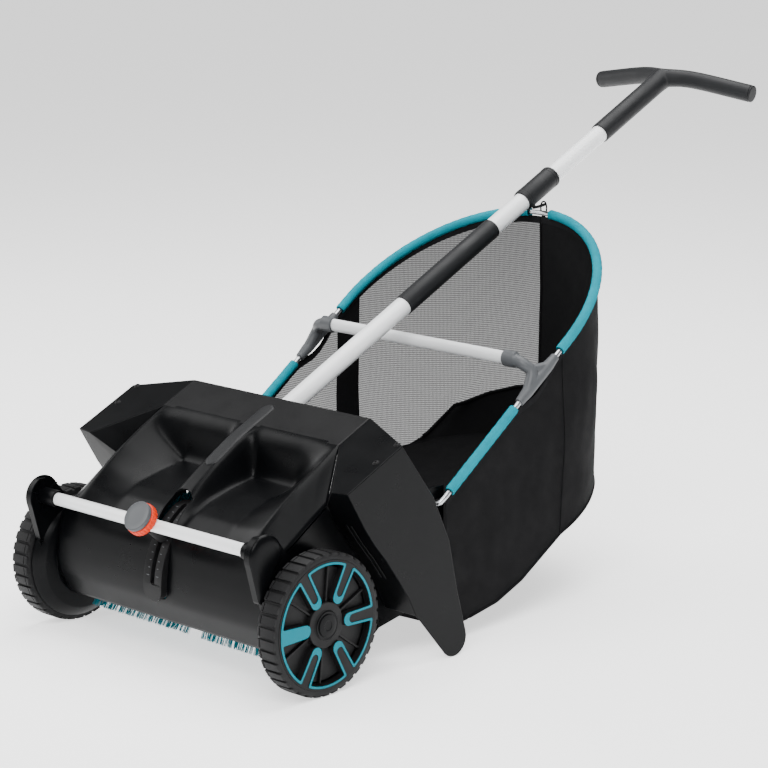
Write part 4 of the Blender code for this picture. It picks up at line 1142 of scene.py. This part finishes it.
def hoop():
    """Steel wire of the bag's mouth, its ends turned in to the chute's ears."""
    end_y, end_z = 0.276, HOOP_Z0 + HOOP_SLOPE * 0.276
    ends = [(0.2115, end_y, end_z), (0.2265, end_y, end_z), (0.2308, end_y + 0.004, end_z + 0.0028)]
    right = [Vector(p) for p in ends] + hoop_run(0.0, 2.0)
    left = [Vector((-p.x, p.y, p.z)) for p in right[:-1]]
    piece("hoop_rod", sweep(right + left[::-1], circle(WIRE_R, count=20), HOOP_NORMAL), "steel", "bag",
          ["hoop_wire"], smooth=50)


def bag():
    """Bag on its hoop: cloth on the right, open mesh on the left, and a cloth panel low at the rear."""
    hoop()
    fabric, open_mesh = "black_fabric", "mesh_fabric"
    for name, side in SIDES:
        hem(f"hem_{name}_leg", 0.03, 0.55, side, [f"hem_lower_{name}"])
        hem(f"hem_{name}_bow", 0.93, 1.94, side, [f"hem_upper_{name}"])
        connector(name, side)
        solid = side > 0
        mat = fabric if solid else open_mesh
        side_to, rear_from = (SEAM_S, SEAM_S) if solid else BAND_S
        panels = [("side", 0.0, side_to, wall_bottom, wall_top, mat)]
        if not solid:
            panels.append(("band", side_to, rear_from, wall_bottom, wall_top, fabric))
        panels.append(("rear_low", rear_from, 2.0, wall_bottom, arch, fabric))
        panels.append(("rear", rear_from, 2.0, arch, wall_top, mat))
        for label, s0, s1, low, high, mat in panels:
            item, flat, area = cloth(f"bag_{label}_{name}", side, s0, s1, low, high, mat)
            whole = flat[0] * flat[1]
            area = max(min(area, whole), 0.31 * whole)
        ribbon(f"binding_inside_{name}", side, 0.011, -0.0012)
        ribbon(f"binding_outside_{name}", side, 0.0105, 0.0012)
        roll = [on_wall(s, side, arch(s), -0.002) for s in (mix(1.42, 2.0, k / 50) for k in range(51))]
        seam(f"arch_seam_{name}", roll, 0.0024)
        foot_z, top_z = wall_bottom(rear_from), wall_top(rear_from)
        upright = [on_wall(rear_from, side, mix(foot_z, top_z, k / 40), 0.0004) for k in range(41)]
        seam(f"corner_seam_{name}", upright, 0.0013)
        foot = [on_wall(s, side, wall_bottom(s) + 0.0005) for s in (2.0 * k / 80 for k in range(81))]
        seam(f"floor_seam_{name}", foot, 0.002)
    middle = [on_wall(2.0, 1, mix(arch(2.0), wall_top(2.0), k / 40), -0.0006) for k in range(41)]
    seam("centre_seam", middle, 0.0018)
    bag_floor()
    bar()
    cord_loop()


def bar():
    """Light oval tube that spreads the bag's sides."""
    ends = [Vector((x, BAG_BAR_Y, BAG_BAR_Z)) for x in (-BAG_BAR_END_X, BAG_BAR_END_X)]
    piece("spreader_bar", sweep(ends, oval(0.01, 0.007), Vector((0, 0, 1))), "light_metal", "bag",
          ["bag_crossbar"], smooth=40)


def connector(name, side):
    """Y-shaped moulding: a sleeve on the wire grows a curved arm that swallows the bar's end."""
    path = hoop_run(0.59, 0.89, side, 0.01)
    last = len(path) - 1
    bm = sweep(path, lambda i: circle(0.007 + 0.002 * ease(min(i, last - i) / last * 4), count=28),
               HOOP_NORMAL)
    curve = smooth_path([hoop_point(0.66, side), (side * 0.2265, 0.483, 0.3745),
                         (side * 0.214, 0.4765, 0.387), (side * 0.1985, BAG_BAR_Y, BAG_BAR_Z)], 10)
    merge(bm, sweep(curve, lambda i: circle(mix(0.0082, 0.0098, i / (len(curve) - 1)), count=28),
                    HOOP_NORMAL))
    web = smooth_path([hoop_point(0.83, side), (side * 0.224, 0.486, 0.38),
                       (side * 0.206, 0.4765, 0.3905)], 10)
    merge(bm, sweep(web, circle(0.0068, count=24), HOOP_NORMAL))
    ends = [Vector((side * x, BAG_BAR_Y, BAG_BAR_Z)) for x in (0.203, 0.18)]
    merge(bm, sweep(ends, oval(0.0124, 0.0097), Vector((0, 0, 1))))
    item = piece(f"connector_{name}", bm, "grey_plastic", "bag",
                 [f"hoop_connector_{name}"], smooth=60)
    one_skin(item, 0.0011, 7)


def cord_loop():
    """Twisted black loop that hangs the bag's apex on the handle's hook."""
    count, strands, twists = 72, 3, 9
    side = Vector((0, 1, 0))
    loop = [Vector((0.006 * math.cos(t), 0.77 + 0.0008 * math.sin(2 * t), 0.5625 + 0.0125 * math.sin(t)))
            for t in (math.tau * i / count for i in range(count))]
    bm = bmesh.new()
    for strand in range(strands):
        line = []
        for i, p in enumerate(loop):
            ahead = (loop[(i + 1) % count] - loop[i - 1]).normalized()
            turn = math.tau * (strand / strands + i * twists / count)
            line.append(p + (side * math.cos(turn) + ahead.cross(side) * math.sin(turn)) * 0.0006)
        merge(bm, sweep(line, circle(0.0008, count=8), side, closed=True))
    piece("apex_loop", bm, "binding_fabric", "bag", ["hook_cord"], smooth=60)


# --- assembly, stage and camera -----------------------------------------------------------------
hood()
height_track()
handle()
adjuster()
rng = random.Random(7)
for name, side in SIDES:
    side_casing(name, side)
    wheel(name, side)
    for k in range(ROWS):
        bristles(name, side, k, rng)
bag()


FLOOR_REACH = 12.0
LIT_POINT = Vector((0, 0, 0.3))
LAMPS = (("key", (1.6, -2.2, 2.6), 2.0, 120), ("fill", (-2.6, -1.2, 1.8), 2.2, 60),
         ("top", (0.0, 0.6, 3.4), 3.2, 200))
CAMERA_AT, CAMERA_DOWN, CAMERA_TURN = (2.9055, -3.1172, 1.2602), 12.301, 43.927
CAMERA_LENS_MM, CAMERA_SHIFT = 132.06, -0.00994


def stage():
    """Pale studio floor, white surroundings and three soft lights."""
    n = Nodes("studio_floor")
    coords = n.new("ShaderNodeTexCoord").outputs["Object"]
    n.link(n.tint((0.93, 0.93, 0.93), n.noise(coords, 0.8), 0.99, 1.01), n.shader.inputs["Base Color"])
    n.link(n.bump(n.noise(coords, 0.004), 0.05, 0.0005), n.shader.inputs["Normal"])
    n.shader.inputs["Roughness"].default_value = 0.9
    n.shader.inputs["Emission Color"].default_value = (1.0, 1.0, 1.0, 1.0)
    n.shader.inputs["Emission Strength"].default_value = 1.1
    marks = [mix(-FLOOR_REACH, FLOOR_REACH, k / 8) for k in range(9)]
    floor = add_mesh("floor", grid([[(x, y, 0.0) for x in marks] for y in marks]))
    floor.data.materials.append(n.mat)
    world = bpy.data.worlds.new("studio")
    bpy.context.scene.world = world
    world.use_nodes = True
    world.node_tree.nodes["Background"].inputs["Color"].default_value = (1.0, 1.0, 1.0, 1.0)
    world.node_tree.nodes["Background"].inputs["Strength"].default_value = 0.32
    for name, where, size, watts in LAMPS:
        light = bpy.data.lights.new(name, "AREA")
        light.size, light.energy = size, watts
        lamp = add_object(name, light)
        lamp.location = where
        lamp.rotation_euler = (LIT_POINT - Vector(where)).to_track_quat("-Z", "Y").to_euler()


def camera():
    """Camera at the photograph's viewing angle."""
    data = bpy.data.cameras.new("camera")
    data.lens, data.sensor_width, data.shift_y = CAMERA_LENS_MM, 36.0, CAMERA_SHIFT
    data.clip_start, data.clip_end = 0.1, 60.0
    cam = add_object("camera", data)
    cam.location = CAMERA_AT
    cam.rotation_euler = (math.radians(90 - CAMERA_DOWN), 0.0, math.radians(CAMERA_TURN))
    bpy.context.scene.camera = cam


stage()
camera()
